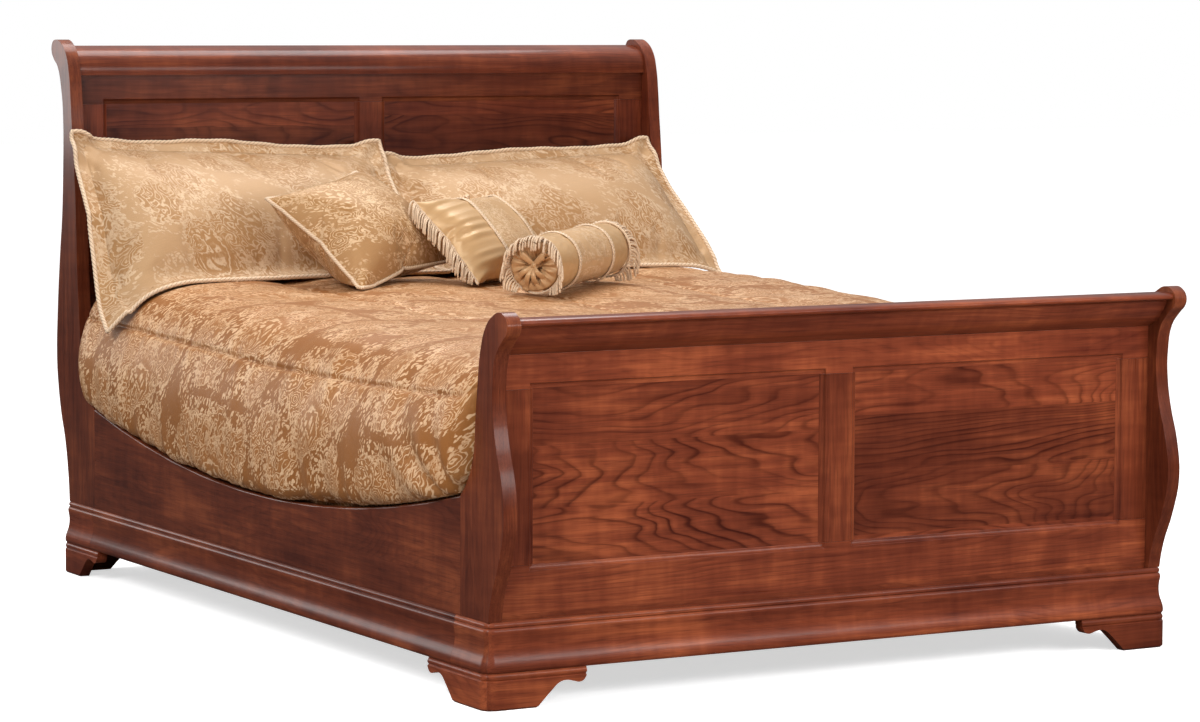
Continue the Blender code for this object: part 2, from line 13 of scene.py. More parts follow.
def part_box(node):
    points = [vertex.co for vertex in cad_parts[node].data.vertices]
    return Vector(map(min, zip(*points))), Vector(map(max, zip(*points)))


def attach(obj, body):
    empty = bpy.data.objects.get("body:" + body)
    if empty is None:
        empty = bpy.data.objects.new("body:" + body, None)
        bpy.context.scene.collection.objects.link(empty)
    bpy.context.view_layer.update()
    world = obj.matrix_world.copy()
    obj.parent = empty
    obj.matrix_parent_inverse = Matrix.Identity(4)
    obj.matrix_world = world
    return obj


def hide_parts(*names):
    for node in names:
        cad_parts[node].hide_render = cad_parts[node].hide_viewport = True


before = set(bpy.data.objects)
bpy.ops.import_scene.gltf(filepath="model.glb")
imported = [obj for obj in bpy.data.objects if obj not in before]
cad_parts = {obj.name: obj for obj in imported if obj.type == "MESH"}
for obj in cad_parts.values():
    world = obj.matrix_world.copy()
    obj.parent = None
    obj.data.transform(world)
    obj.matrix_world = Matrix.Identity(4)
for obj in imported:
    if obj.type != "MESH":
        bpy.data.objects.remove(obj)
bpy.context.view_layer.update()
ROOT = "bed"

CAMERA_PLACE = (-4.3687, -7.7428, 1.3660)
CAMERA_YAW, CAMERA_PITCH, CAMERA_ROLL = 0.5163, 0.0911, 0.0033
CAMERA_LENS = 116.32
CAMERA_SHIFT = (0.0065, 0.0061)

# what the floor shows to the eye, to soft light and to reflections
FLOOR_SEEN, FLOOR_SOFT, FLOOR_GLOSSY = (0.88, 0.88, 0.88), (0.36, 0.36, 0.36), (0.045, 0.043, 0.042)
FLOOR_GLOW = 0.62
ROOM_LOW, ROOM_HIGH, ROOM_STRENGTH = (0.06, 0.06, 0.062), (1.0, 1.0, 1.0), 0.75
WHITE = (1.0, 1.0, 1.0, 1.0)


# ---------------------------------------------------------------- helpers

def add_object(name, data):
    obj = bpy.data.objects.new(name, data)
    bpy.context.scene.collection.objects.link(obj)
    return obj


def bmesh_object(name, bm, material, sharp=None):
    """Turns a bmesh into a smooth shaded object, and frees it."""
    mesh = bpy.data.meshes.new(name)
    bm.to_mesh(mesh)
    bm.free()
    mesh.shade_smooth()
    if sharp:
        mesh.set_sharp_from_angle(angle=radians(sharp))
    mesh.materials.append(material)
    return add_object(name, mesh)


def add_modifier(obj, name, kind, **settings):
    made = obj.modifiers.new(name, kind)
    for key, value in settings.items():
        setattr(made, key, value)
    return made


def subdivide(obj):
    add_modifier(obj, "smooth", "SUBSURF", levels=1, render_levels=1)


def ripple(*place):
    """Smooth noise between -1 and 1 at a place."""
    return noise.noise(Vector(place))


def unit(rows):
    return rows / (np.linalg.norm(rows, axis=-1, keepdims=True) + 1e-12)


def run_of(path):
    """How far along a polyline each of its points is."""
    return np.concatenate([[0.0], np.cumsum(np.linalg.norm(np.diff(path, axis=0), axis=1))])


class Graph:
    """Adds and links the nodes of a new material, or of a new world."""

    def __init__(self, name, kind="materials"):
        self.owner = getattr(bpy.data, kind).new(name)
        self.owner.use_nodes = True
        self.tree = self.owner.node_tree

    def node(self, kind, inputs=None, **settings):
        made = self.tree.nodes.new(kind)
        for key, value in settings.items():
            setattr(made, key, value)
        for key, value in (inputs or {}).items():
            self.plug(made.inputs[key], value)
        return made

    def plug(self, socket, value):
        if isinstance(value, bpy.types.NodeSocket):
            self.tree.links.new(value, socket)
        else:
            socket.default_value = value

    def math(self, operation, a, b=0.0, c=None, clamp=False):
        inputs = {0: a, 1: b}
        if c is not None:
            inputs[2] = c
        return self.node("ShaderNodeMath", inputs, operation=operation, use_clamp=clamp).outputs[0]

    add, sub = partialmethod(math, "ADD"), partialmethod(math, "SUBTRACT")
    mul, div = partialmethod(math, "MULTIPLY"), partialmethod(math, "DIVIDE")
    mad, power = partialmethod(math, "MULTIPLY_ADD"), partialmethod(math, "POWER")
    most, least = partialmethod(math, "MAXIMUM"), partialmethod(math, "MINIMUM")
    above, absolute = partialmethod(math, "GREATER_THAN"), partialmethod(math, "ABSOLUTE")
    sine, cosine = partialmethod(math, "SINE"), partialmethod(math, "COSINE")
    arctan, root = partialmethod(math, "ARCTAN2"), partialmethod(math, "SQRT")
    floor, fract = partialmethod(math, "FLOOR"), partialmethod(math, "FRACT")

    def split(self, vector):
        return self.node("ShaderNodeSeparateXYZ", {0: vector}).outputs[:3]

    def join(self, x, y, z):
        return self.node("ShaderNodeCombineXYZ", {0: x, 1: y, 2: z}).outputs[0]

    def shaded(self, colour, level):
        """The colour times a level that varies over the surface."""
        return self.mix(1.0, colour, self.join(level, level, level), "MULTIPLY")

    def place(self):
        return self.node("ShaderNodeTexCoord").outputs["Object"]

    def cloth_uv(self):
        return self.node("ShaderNodeUVMap", uv_map="UVMap").outputs[0]

    def noise(self, vector, scale, detail=2.0, rough=0.5, distort=0.0, colour=False):
        made = self.node("ShaderNodeTexNoise", {"Vector": vector, "Scale": scale, "Detail": detail,
                                                "Roughness": rough, "Distortion": distort})
        return made.outputs["Color" if colour else "Fac"]

    def drift(self, vector, scale, detail):
        """Two unlike noises about zero, to push coordinates about."""
        made = self.noise(vector, scale, detail, 0.5, colour=True)
        middle = self.node("ShaderNodeVectorMath", {0: made, 1: (0.5, 0.5, 0.5)}, operation="SUBTRACT")
        return self.split(middle.outputs[0])[:2]

    def cells(self, vector, scale):
        return self.node("ShaderNodeTexVoronoi", {"Vector": vector, "Scale": scale}, feature="F1").outputs

    def ramp(self, value, stops, ease="LINEAR"):
        made = self.node("ShaderNodeValToRGB", {"Fac": value})
        band = made.color_ramp
        band.interpolation = ease
        while len(band.elements) < len(stops):
            band.elements.new(0.5)
        for element, (spot, colour) in zip(band.elements, stops):
            element.position = spot
            element.color = (*colour, 1.0)
        return made.outputs["Color"]

    def range(self, value, low, high, to_low=0.0, to_high=1.0):
        return self.node("ShaderNodeMapRange", {"Value": value, "From Min": low, "From Max": high,
                                                "To Min": to_low, "To Max": to_high}).outputs["Result"]

    def mix(self, factor, a, b, blend="MIX"):
        made = self.node("ShaderNodeMix", {}, data_type="RGBA", blend_type=blend)
        self.plug(made.inputs[0], factor)
        for index, value in ((6, a), (7, b)):
            if isinstance(value, tuple) and len(value) == 3:
                value = (*value, 1.0)
            self.plug(made.inputs[index], value)
        return made.outputs[2]

    def bump(self, height, distance, strength=1.0):
        made = self.node("ShaderNodeBump", {"Height": height, "Distance": distance, "Strength": strength})
        return made.outputs["Normal"]

    def finish(self, **sockets):
        shader = self.tree.nodes["Principled BSDF"]
        for key, value in sockets.items():
            self.plug(shader.inputs[key.replace("_", " ")], value)
        return self.owner


# ---------------------------------------------------------------- camera, floor and light

def setup_camera():
    data = bpy.data.cameras.new("camera")
    data.sensor_width, data.lens, data.clip_end = 36.0, CAMERA_LENS, 200.0
    data.shift_x, data.shift_y = CAMERA_SHIFT
    camera = add_object("camera", data)
    level = cos(CAMERA_PITCH)
    look = Vector((sin(CAMERA_YAW) * level, cos(CAMERA_YAW) * level, -sin(CAMERA_PITCH)))
    turn = look.to_track_quat("-Z", "Y").to_matrix().to_4x4() @ Matrix.Rotation(CAMERA_ROLL, 4, "Z")
    camera.matrix_world = Matrix.Translation(CAMERA_PLACE) @ turn
    bpy.context.scene.camera = camera


def area_light(name, place, target, size, power, shines=True):
    """A rectangular soft light; one that doesn't shine stays out of reflections."""
    data = bpy.data.lights.new(name, "AREA")
    data.shape = "RECTANGLE"
    data.size, data.size_y = size
    data.energy = power
    lamp = add_object(name, data)
    lamp.location = place
    lamp.visible_camera = False
    lamp.visible_glossy = shines
    lamp.rotation_euler = (Vector(target) - Vector(place)).to_track_quat("-Z", "Y").to_euler()


def setup_stage():
    bpy.ops.mesh.primitive_plane_add(size=60.0, location=(0.0, 0.0, 0.0))
    floor = bpy.context.object
    floor.name = "floor"
    g = Graph("floor")
    seen = g.node("ShaderNodeLightPath").outputs
    # the floor reads white to the eye but throws back less, as a paper sweep under a tight light does
    paper = g.mix(seen["Is Camera Ray"], FLOOR_SOFT, FLOOR_SEEN)
    paper = g.mix(seen["Is Glossy Ray"], paper, FLOOR_GLOSSY)
    made = g.finish(Base_Color=paper, Roughness=0.9, Specular_IOR_Level=0.1, Emission_Color=WHITE,
                    Emission_Strength=g.mul(seen["Is Camera Ray"], FLOOR_GLOW))
    floor.data.materials.append(made)
    # the studio: bright ceiling, dim walls; the eye sees a plain white backdrop
    g = Graph("world", "worlds")
    bpy.context.scene.world = g.owner
    height = g.split(g.node("ShaderNodeTexCoord").outputs["Generated"])[2]
    room = g.tree.nodes["Background"]
    g.plug(room.inputs["Color"], g.ramp(height, [(0.0, ROOM_LOW), (0.75, ROOM_HIGH)]))
    room.inputs["Strength"].default_value = ROOM_STRENGTH
    white = g.node("ShaderNodeBackground", {"Color": WHITE, "Strength": 1.0}).outputs[0]
    seen = g.node("ShaderNodeLightPath").outputs["Is Camera Ray"]
    blend = g.node("ShaderNodeMixShader", {0: seen, 1: room.outputs[0], 2: white}).outputs[0]
    g.plug(g.tree.nodes["World Output"].inputs["Surface"], blend)
    # a broad soft window to the left, one overhead, a fill and a thin strip in front, one behind
    area_light("key", (-4.8, -2.6, 3.6), (-0.3, -0.4, 0.5), (2.6, 2.2), 222.0)
    area_light("top", (0.3, 1.5, 4.2), (0.0, -0.3, 0.5), (3.2, 2.2), 120.0)
    area_light("front", (0.8, -3.4, 1.5), (0.3, -1.1, 0.35), (2.8, 1.0), 58.0, shines=False)
    area_light("strip", (1.0, -3.4, 1.5), (0.3, -1.1, 0.35), (2.4, 0.5), 18.0)
    area_light("back", (-3.9, 5.0, 1.5), (-0.8, 0.2, 0.3), (4.0, 1.3), 44.0)
    view = bpy.context.scene.view_settings
    view.view_transform, view.look, view.exposure = "Standard", "None", 0.0


# ---------------------------------------------------------------- cherry wood

CHERRY = (0.084, 0.0150, 0.0070), (0.178, 0.0375, 0.0150), (0.335, 0.0820, 0.0290)
PORE = (0.026, 0.006, 0.004)


def cherry(name, grain, seed, board, pith, lean=0.10, tone=1.0, figure=0.42):
    """Flat-sawn cherry under a red-brown stain.

    grain is the axis the boards run along, or "post" for upright boards that show their sides.
    Growth rings are cylinders round a pith line that wanders behind the face, so they surface as
    arches; each glued board gets its own pith.
    """
    g = Graph(name)
    where = g.place()
    x, y, z = g.split(where)
    along, wide, deep = {"x": (x, z, y), "y": (y, z, x), "z": (z, x, y), "post": (z, y, x)}[grain]
    along = g.add(along, seed * 1.713)
    wide = g.add(wide, seed * 0.371)
    strip = g.floor(g.div(wide, board))
    key = g.node("ShaderNodeTexWhiteNoise", {"W": g.add(strip, seed * 3.1)}, noise_dimensions="1D")
    r1, r2, r3 = g.node("ShaderNodeSeparateColor", {0: key.outputs["Color"]}).outputs[:3]

    def drawn(by_length, by_width, by_depth=None, detail=2.0, rough=0.5):
        """Noise drawn out along the grain; without by_depth it stays within one board."""
        third = strip if by_depth is None else g.mul(deep, by_depth)
        return g.noise(g.join(g.mul(along, by_length), g.mul(wide, by_width), third), 1.0, detail, rough)

    # slow wander of the pith and fine ripple of the rings, both long along the grain
    wander = g.sub(g.noise(g.join(along, g.mul(wide, 4.5), strip), 1.5, 2.0, 0.45), 0.5)
    side = g.add(g.sub(wide, g.mul(g.add(strip, r1), board)), g.mul(wander, 0.10))
    slope = g.mul(g.sub(r2, 0.5), lean * 2.0)
    depth = g.add(g.mul(along, slope), g.mad(r3, 0.10, pith * 0.6))
    depth = g.add(g.add(depth, g.mul(wander, 0.12)), deep)
    radius = g.root(g.add(g.mul(side, side), g.mul(depth, depth)))
    radius = g.add(radius, g.mul(g.sub(drawn(4.0, 16.0, detail=3.0), 0.5), 0.009))
    uneven = g.noise(g.join(0.0, 0.0, g.mul(radius, 30.0)), 1.0, 1.0)
    phase = g.fract(g.add(g.mul(radius, 150.0), g.mul(uneven, 2.5)))
    rise = ((0.0, 0.20), (0.18, 0.0), (0.62, 0.22), (0.90, 0.80), (1.0, 0.30))
    late = g.ramp(phase, [(spot, (level, level, level)) for spot, level in rise], "EASE")
    strength = g.range(drawn(2.5, 9.0), 0.35, 0.70, 0.25, 1.0)
    # fine streaks, short dark pores, slow clouds and the slanted shimmer of curly cherry
    fibre = drawn(14.0, 620.0, 620.0, 2.0, 0.6)
    streak = drawn(3.2, 75.0, 75.0, 3.0, 0.6)
    cloud = drawn(3.0, 6.0, 6.0, 3.0, 0.55)
    curly = drawn(34.0, 7.0)
    level = g.mad(g.sub(curly, 0.5), 0.16, g.add(g.mul(cloud, 0.62), g.mul(streak, 0.34)))
    # this level scales the stain: partly each piece's own tone, partly painted light and shade
    base = g.ramp(level, [(spot, tuple(part * tone for part in stain))
                          for spot, stain in zip((0.32, 0.50, 0.66), CHERRY)])
    base = g.shaded(base, g.mad(key.outputs["Value"], 0.40, 0.80))
    dark = g.mix(1.0, base, (0.20, 0.12, 0.12), "MULTIPLY")
    colour = g.mix(g.mul(g.mul(late, strength), figure, clamp=True), base, dark)
    pores = g.range(fibre, 0.50, 0.74, 0.0, 0.45)
    colour = g.mix(pores, colour, PORE)
    rough = g.add(g.mad(streak, 0.12, 0.24), g.mul(pores, 0.20))
    normal = g.bump(g.add(g.mul(fibre, 0.5), g.mul(late, 0.25)), 0.00022, 0.5)
    # the slight orange-peel of a sprayed lacquer
    peel = g.bump(g.noise(where, 160.0, 1.0, 0.4), 0.0001, 0.35)
    return g.finish(Base_Color=colour, Roughness=rough, Normal=normal, Coat_Weight=0.36, Coat_Roughness=0.14,
                    Coat_Normal=peel, Specular_IOR_Level=0.12)


def softwood():
    """Planed pine for the slats and beam, with straight grain along each piece."""
    g = Graph("softwood")
    where = g.place()
    x, y, z = g.split(where)
    wave = g.noise(g.join(g.mul(x, 3.0), g.mul(y, 60.0), g.mul(z, 60.0)),
                   1.0, 3.0, 0.6)
    rings = g.fract(g.mul(g.add(y, g.mul(wave, 0.02)), 90.0))
    colour = g.ramp(g.mad(rings, 0.5, g.mul(wave, 0.5)),
                    [(0.2, (0.56, 0.38, 0.20)), (0.6, (0.46, 0.29, 0.14)), (0.95, (0.30, 0.16, 0.07))])
    return g.finish(Base_Color=colour, Roughness=0.62, Normal=g.bump(wave, 0.0004, 0.5))


def plated_steel():
    g = Graph("plated_steel")
    where = g.place()
    patch = g.noise(where, 60.0, 4.0, 0.6)
    colour = g.ramp(patch, [(0.3, (0.26, 0.25, 0.22)), (0.7, (0.44, 0.42, 0.38))])
    return g.finish(Base_Color=colour, Roughness=g.range(patch, 0.3, 0.7, 0.32, 0.5), Metallic=1.0,
                    Normal=g.bump(patch, 0.0002, 0.4))


# ---------------------------------------------------------------- refined wooden pieces

def refine(node, ease, material):
    """Stands a soft-edged, smoothly shaded copy in for a CAD node."""
    bm = bmesh.new()
    bm.from_mesh(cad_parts[node].data)
    bmesh.ops.remove_doubles(bm, verts=bm.verts, dist=0.00002)
    bmesh.ops.dissolve_limit(bm, angle_limit=radians(0.6), verts=bm.verts, edges=bm.edges, delimit={"NORMAL"})
    if ease:
        sharp = [e for e in bm.edges if len(e.link_faces) == 2 and e.calc_face_angle(0.0) > radians(35.0)]
        bmesh.ops.bevel(bm, geom=sharp, offset=ease, segments=2, profile=0.6, affect="EDGES",
                        clamp_overlap=True, miter_outer="ARC")
    bmesh.ops.recalc_face_normals(bm, faces=bm.faces)
    obj = bmesh_object("look_" + node, bm, material, sharp=28.0)
    add_modifier(obj, "even_normals", "WEIGHTED_NORMAL", keep_sharp=True, weight=80)
    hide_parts(node)
    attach(obj, ROOT)


def build_wood():
    """A refined copy and its own cherry for each wooden part: grain, board width, pith depth, lean."""
    seeds = iter(range(1, 80))

    def wood(node, grain, board, pith, lean=0.10, ease=0.0008, **look):
        refine(node, ease, cherry("cherry_" + node, grain, next(seeds), board, pith, lean, **look))

    # levels for panels, top rail and crest: one cherry painted lighter at the foot and darker at the head, as painted
    # light and shade
    for end, deep, top, crest in (("foot", 0.96, 1.12, 1.1), ("head", 0.70, 0.72, 0.85)):
        for hand in ("left", "right"):
            wood(end + "_post_" + hand, "post", 0.30, 0.16, 0.05, ease=0, tone=0.82)
            wood(end + "_return_" + hand, "y", 0.30, 0.20, ease=0.0005)
            wood(end + "_stile_" + hand, "z", 0.20, 0.15, 0.05)
            wood(end + "_panel_" + hand, "x", 0.125, 0.075, 0.11, ease=0, figure=1.15, tone=deep)
            wood("bracket_" + end + "_" + hand + "_end", "x", 0.30, 0.20)
            wood("bracket_" + end + "_" + hand + "_side", "y", 0.30, 0.20)
        wood(end + "_stile_centre", "z", 0.20, 0.15, 0.05, tone=0.5 + 0.5 * deep)
        wood(end + "_top_rail", "x", 0.20, 0.14, 0.05, tone=top)
        wood(end + "_bottom_rail", "x", 0.25, 0.10, 0.08, figure=0.6)
        wood(end + "_crest_rail", "x", 0.30, 0.18, 0.04, ease=0, tone=crest)
        wood(end + "_base_moulding", "x", 0.30, 0.20, 0.04, ease=0.0005)
    wood("head_cross_rail", "x", 0.20, 0.14, 0.05, ease=0)
    for hand in ("left", "right"):
        wood("side_rail_" + hand, "y", 0.16, 0.12, 0.05, ease=0, tone=0.84)
        wood("side_moulding_" + hand, "y", 0.30, 0.20, 0.03, ease=0.0005)


def build_support():
    """Slats, beam and hook plates keep their CAD shapes and get materials."""
    pine, steel = softwood(), plated_steel()
    for node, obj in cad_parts.items():
        if node.startswith(("slat_", "centre_beam", "beam_leg", "rail_bracket")):
            obj.data.materials.clear()
            obj.data.materials.append(steel if node.startswith("rail_bracket") else pine)


# ---------------------------------------------------------------- bed shape that the soft goods lie on

MATTRESS_HALF, MATTRESS_HIGH = 0.762, 0.6745
# things this close to the middle line rest on the comforter; further out they hang past it
OVER_BED = 0.83
RAIL_FOOT, RAIL_HEAD, RAIL_LOW, RAIL_HIGH = -0.9735, 0.9265, 0.311, 0.415


def ledge(y):
    """Top of the side rail, or of the post beyond it, where the comforter drops inside."""
    if y < RAIL_FOOT:
        return float(np.interp(-y, [-RAIL_FOOT, 0.994, 1.0157, 1.031, 1.05], [RAIL_HIGH, 0.4354, 0.468, 0.510, 0.60]))
    if y > RAIL_HEAD:
        return float(np.interp(y, [RAIL_HEAD, 0.960, 0.989], [RAIL_HIGH, 0.447, 0.490]))
    middle, half = (RAIL_FOOT + RAIL_HEAD) / 2, (RAIL_HEAD - RAIL_FOOT) / 2
    return RAIL_LOW + (RAIL_HIGH - RAIL_LOW) * ((y - middle) / half) ** 2


def cover_top(y):
    return float(np.interp(y, [-1.03, -0.20, 0.02, 0.25, 0.43, 0.65], [0.696, 0.699, 0.704, 0.710, 0.715, 0.722]))


def catmull(points, per_span):
    """A smooth curve through the given points, densely sampled."""
    pts = np.array(points, float)
    pts = np.vstack([2 * pts[0] - pts[1], pts, 2 * pts[-1] - pts[-2]])
    out = []
    for i in range(1, len(pts) - 2):
        a, b, c, d = pts[i - 1], pts[i], pts[i + 1], pts[i + 2]
        for t in np.linspace(0.0, 1.0, per_span, endpoint=False):
            out.append(0.5 * ((2 * b) + (c - a) * t + (2 * a - 5 * b + 4 * c - d) * t * t
                              + (3 * b - a - 3 * c + d) * t ** 3))
    out.append(pts[-2])
    return np.array(out)


def resample(points, count, closed=False):
    """Evenly spaced points along a polyline."""
    pts = np.array(points, float)
    if closed:
        pts = np.vstack([pts, pts[:1]])
    run = run_of(pts)
    spots = np.linspace(0.0, run[-1], count, endpoint=not closed)
    return np.stack([np.interp(spots, run, column) for column in pts.T], axis=1)


def cover_section(y, count):
    """Right half of the comforter's section at y, from the crown down to the tuck, as (x, z) rows."""
    top = cover_top(y)
    low = ledge(y)
    span = top - (low + 0.045)
    keys = [(0.0, top + 0.006), (0.22, top + 0.006), (0.45, top + 0.005), (0.62, top + 0.003), (0.705, top - 0.001)]
    for share, x in ((0.94, 0.770), (0.84, 0.812), (0.68, 0.842), (0.48, 0.857), (0.25, 0.861)):
        keys.append((x, low + 0.045 + span * share))
    keys += [(0.851, low + 0.040), (0.834, low + 0.014), (0.812, low + 0.006), (0.796, low - 0.006),
             (0.786, low - 0.030), (0.780, low - 0.052)]
    return resample(catmull(keys, 8), count)


@lru_cache(maxsize=None)
def cover_line(fiftieth):
    """Upper side of the comforter's half section at y = fiftieth / 50, as x and z."""
    line = cover_section(fiftieth / 50.0, 60)
    return line[:line[:, 0].argmax() + 1].T


def cover_height(x, y):
    """Height of the comforter's upper side at a point, for things that rest on it."""
    return float(np.interp(abs(x), *cover_line(round(y * 50)))) + 0.006


# ---------------------------------------------------------------- cloth

def grid_object(name, points, uvs, faces, material):
    """A smooth shaded mesh with one UV pair for each point."""
    mesh = bpy.data.meshes.new(name)
    mesh.from_pydata([tuple(p) for p in points], [], faces)
    layer = mesh.uv_layers.new(name="UVMap")
    corners = np.zeros(len(mesh.loops), dtype=np.int32)
    mesh.loops.foreach_get("vertex_index", corners)
    layer.data.foreach_set("uv", np.array(uvs, dtype=np.float32)[corners].ravel())
    mesh.shade_smooth()
    mesh.materials.append(material)
    return add_object(name, mesh)


def sheet_faces(rows, columns):
    """Quads of a grid of points."""
    spots = [i * columns + j for i in range(rows - 1) for j in range(columns - 1)]
    return [(a, a + 1, a + columns + 1, a + columns) for a in spots]


def tube_faces(rows, sides, closed=False, flip=False):
    """Faces of a tube of rings, with capped ends unless it closes on itself."""
    quads = []
    for i in range(rows if closed else rows - 1):
        here, there = i * sides, (i + 1) % rows * sides
        for k in range(sides):
            n = (k + 1) % sides
            quads.append((here + k, there + k, there + n, here + n))
    caps = [] if closed else [tuple(range(sides)), tuple(reversed(range((rows - 1) * sides, rows * sides)))]
    if flip:
        quads = [(a, d, c, b) for a, b, c, d in quads]
        caps = [tuple(reversed(cap)) for cap in caps]
    return quads + caps


def get_points(mesh, key="co"):
    flat = np.zeros(len(mesh.vertices) * 3)
    mesh.vertices.foreach_get(key, flat)
    return flat.reshape(-1, 3)


def set_points(mesh, points):
    mesh.vertices.foreach_set("co", np.asarray(points, dtype=np.float32).ravel())
    mesh.update()


def settle(obj, frames, pressure, cap, bend, tension, quality, shrink=0.0, pinned=None, puffed=None):
    """Runs Blender's cloth on a mesh, writes the result back and removes the modifier."""
    before = get_points(obj.data)
    modifier = obj.modifiers.new("cloth", "CLOTH")
    cloth = modifier.settings
    cloth.quality = quality
    cloth.mass = 0.3
    cloth.tension_stiffness = cloth.compression_stiffness = tension
    cloth.shear_stiffness = tension * 0.4
    cloth.bending_stiffness = bend
    cloth.tension_damping = cloth.compression_damping = 5.0
    cloth.air_damping = 2.0
    cloth.effector_weights.gravity = 0.0
    cloth.shrink_min = shrink
    cloth.use_pressure = True
    cloth.uniform_pressure_force = pressure
    for name, chosen, key in (("puffed", puffed, "vertex_group_pressure"), ("pinned", pinned, "vertex_group_mass")):
        if chosen is not None:
            obj.vertex_groups.new(name=name).add([int(i) for i in chosen], 1.0, "REPLACE")
            setattr(cloth, key, name)
    if pinned is not None:
        cloth.pin_stiffness = 5.0
    modifier.collision_settings.use_collision = False
    modifier.point_cache.frame_start = 1
    modifier.point_cache.frame_end = frames
    scene = bpy.context.scene
    for step in range(1, frames + 1):
        scene.frame_set(step)
    solved = obj.evaluated_get(bpy.context.evaluated_depsgraph_get())
    after = get_points(solved.data)
    obj.modifiers.remove(modifier)
    scene.frame_set(1)
    for group in list(obj.vertex_groups):
        obj.vertex_groups.remove(group)
    move = after - before
    size = np.linalg.norm(move, axis=1, keepdims=True)
    after = before + move * np.minimum(1.0, cap / np.maximum(size, 1e-9))
    if np.isfinite(after).all():
        set_points(obj.data, after)


def rope(name, path, radius, pitch, material, closed=True, strands=3, sides=12, body=ROOT):
    """A twisted cord along a path: a tube whose ridges wind round it."""
    path = np.array(path, float)
    length = run_of(np.vstack([path, path[:1]]) if closed else path)[-1]
    count = max(8, int(length / (pitch / strands / 3.0)))
    spine = resample(path, count, closed)
    ahead = np.roll(spine, -1, axis=0) - np.roll(spine, 1, axis=0) if closed else np.gradient(spine, axis=0)
    ahead = unit(ahead)
    side = np.cross(ahead, (0.0, 0.0, 1.0))
    weak = np.linalg.norm(side, axis=1) < 0.05
    side[weak] = np.cross(ahead[weak], (1.0, 0.0, 0.0))
    side = unit(side)
    rise = np.cross(side, ahead)
    turns = round(length / pitch) if closed else length / pitch
    wound = turns * np.arange(count) / count
    points = np.zeros((count, sides, 3))
    uvs = np.zeros((count, sides, 2))
    for k, angle in enumerate(np.linspace(0.0, 2 * pi, sides, endpoint=False)):
        lobe = np.abs(np.cos(0.5 * strands * (angle - 2 * pi * wound)))
        size = radius * (0.74 + 0.30 * lobe)[:, None]
        points[:, k] = spine + side * (size * cos(angle)) + rise * (size * sin(angle))
        uvs[:, k] = np.column_stack([wound, np.full(count, k / sides)])
    faces = tube_faces(count, sides, closed)
    obj = grid_object(name, points.reshape(-1, 3), uvs.reshape(-1, 2), faces, material)
    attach(obj, body)


def join_meshes(name, parts, material):
    """Joins lists of (points, faces) or (points, faces, uvs) into one object."""
    points, faces, uvs = [], [], []
    for part in parts:
        base = len(points)
        points.extend([tuple(p) for p in part[0]])
        faces.extend([tuple(base + i for i in quad) for quad in part[1]])
        uvs.extend(part[2] if len(part) > 2 else [(0.0, 0.0)] * len(part[0]))
    return grid_object(name, points, uvs, faces, material)


def strand(path, radius, sides=6):
    """A thin tube along a few points, with winding UVs, as (points, faces, uvs)."""
    path = np.array(path, float)
    run = run_of(path) / 0.007
    ahead = unit(np.gradient(path, axis=0))
    side = unit(np.cross(ahead, (0.31, 0.22, 0.93)))
    rise = np.cross(side, ahead)
    points, uvs = [], []
    for i, spot in enumerate(path):
        size = radius * (1.0 if i < len(path) - 1 else 0.55)
        for k in range(sides):
            angle = 2 * pi * k / sides
            lobe = size * (0.86 + 0.20 * abs(cos(angle - 2 * pi * run[i])))
            points.append(spot + side[i] * lobe * cos(angle) + rise[i] * lobe * sin(angle))
            uvs.append((run[i], k / sides))
    return points, tube_faces(len(path), sides, flip=True), uvs


# ---------------------------------------------------------------- fabrics

# in one 0.36 m repeat: place and reach, then a paisley's aim, twist and winding or a bouquet's lobes
PAISLEYS = (-0.045, -0.055, 0.125, 1.05, 5.0, 1.0), (0.135, 0.090, 0.075, -2.3, -9.0, -1.0)
BOUQUETS = ((0.045, 0.070, 0.070, 5.0), (-0.150, 0.060, 0.072, 6.0), (0.165, -0.055, 0.062, 5.0),
            (0.070, -0.125, 0.055, 5.0), (-0.180, -0.110, 0.055, 4.0), (-0.060, 0.135, 0.045, 4.0))


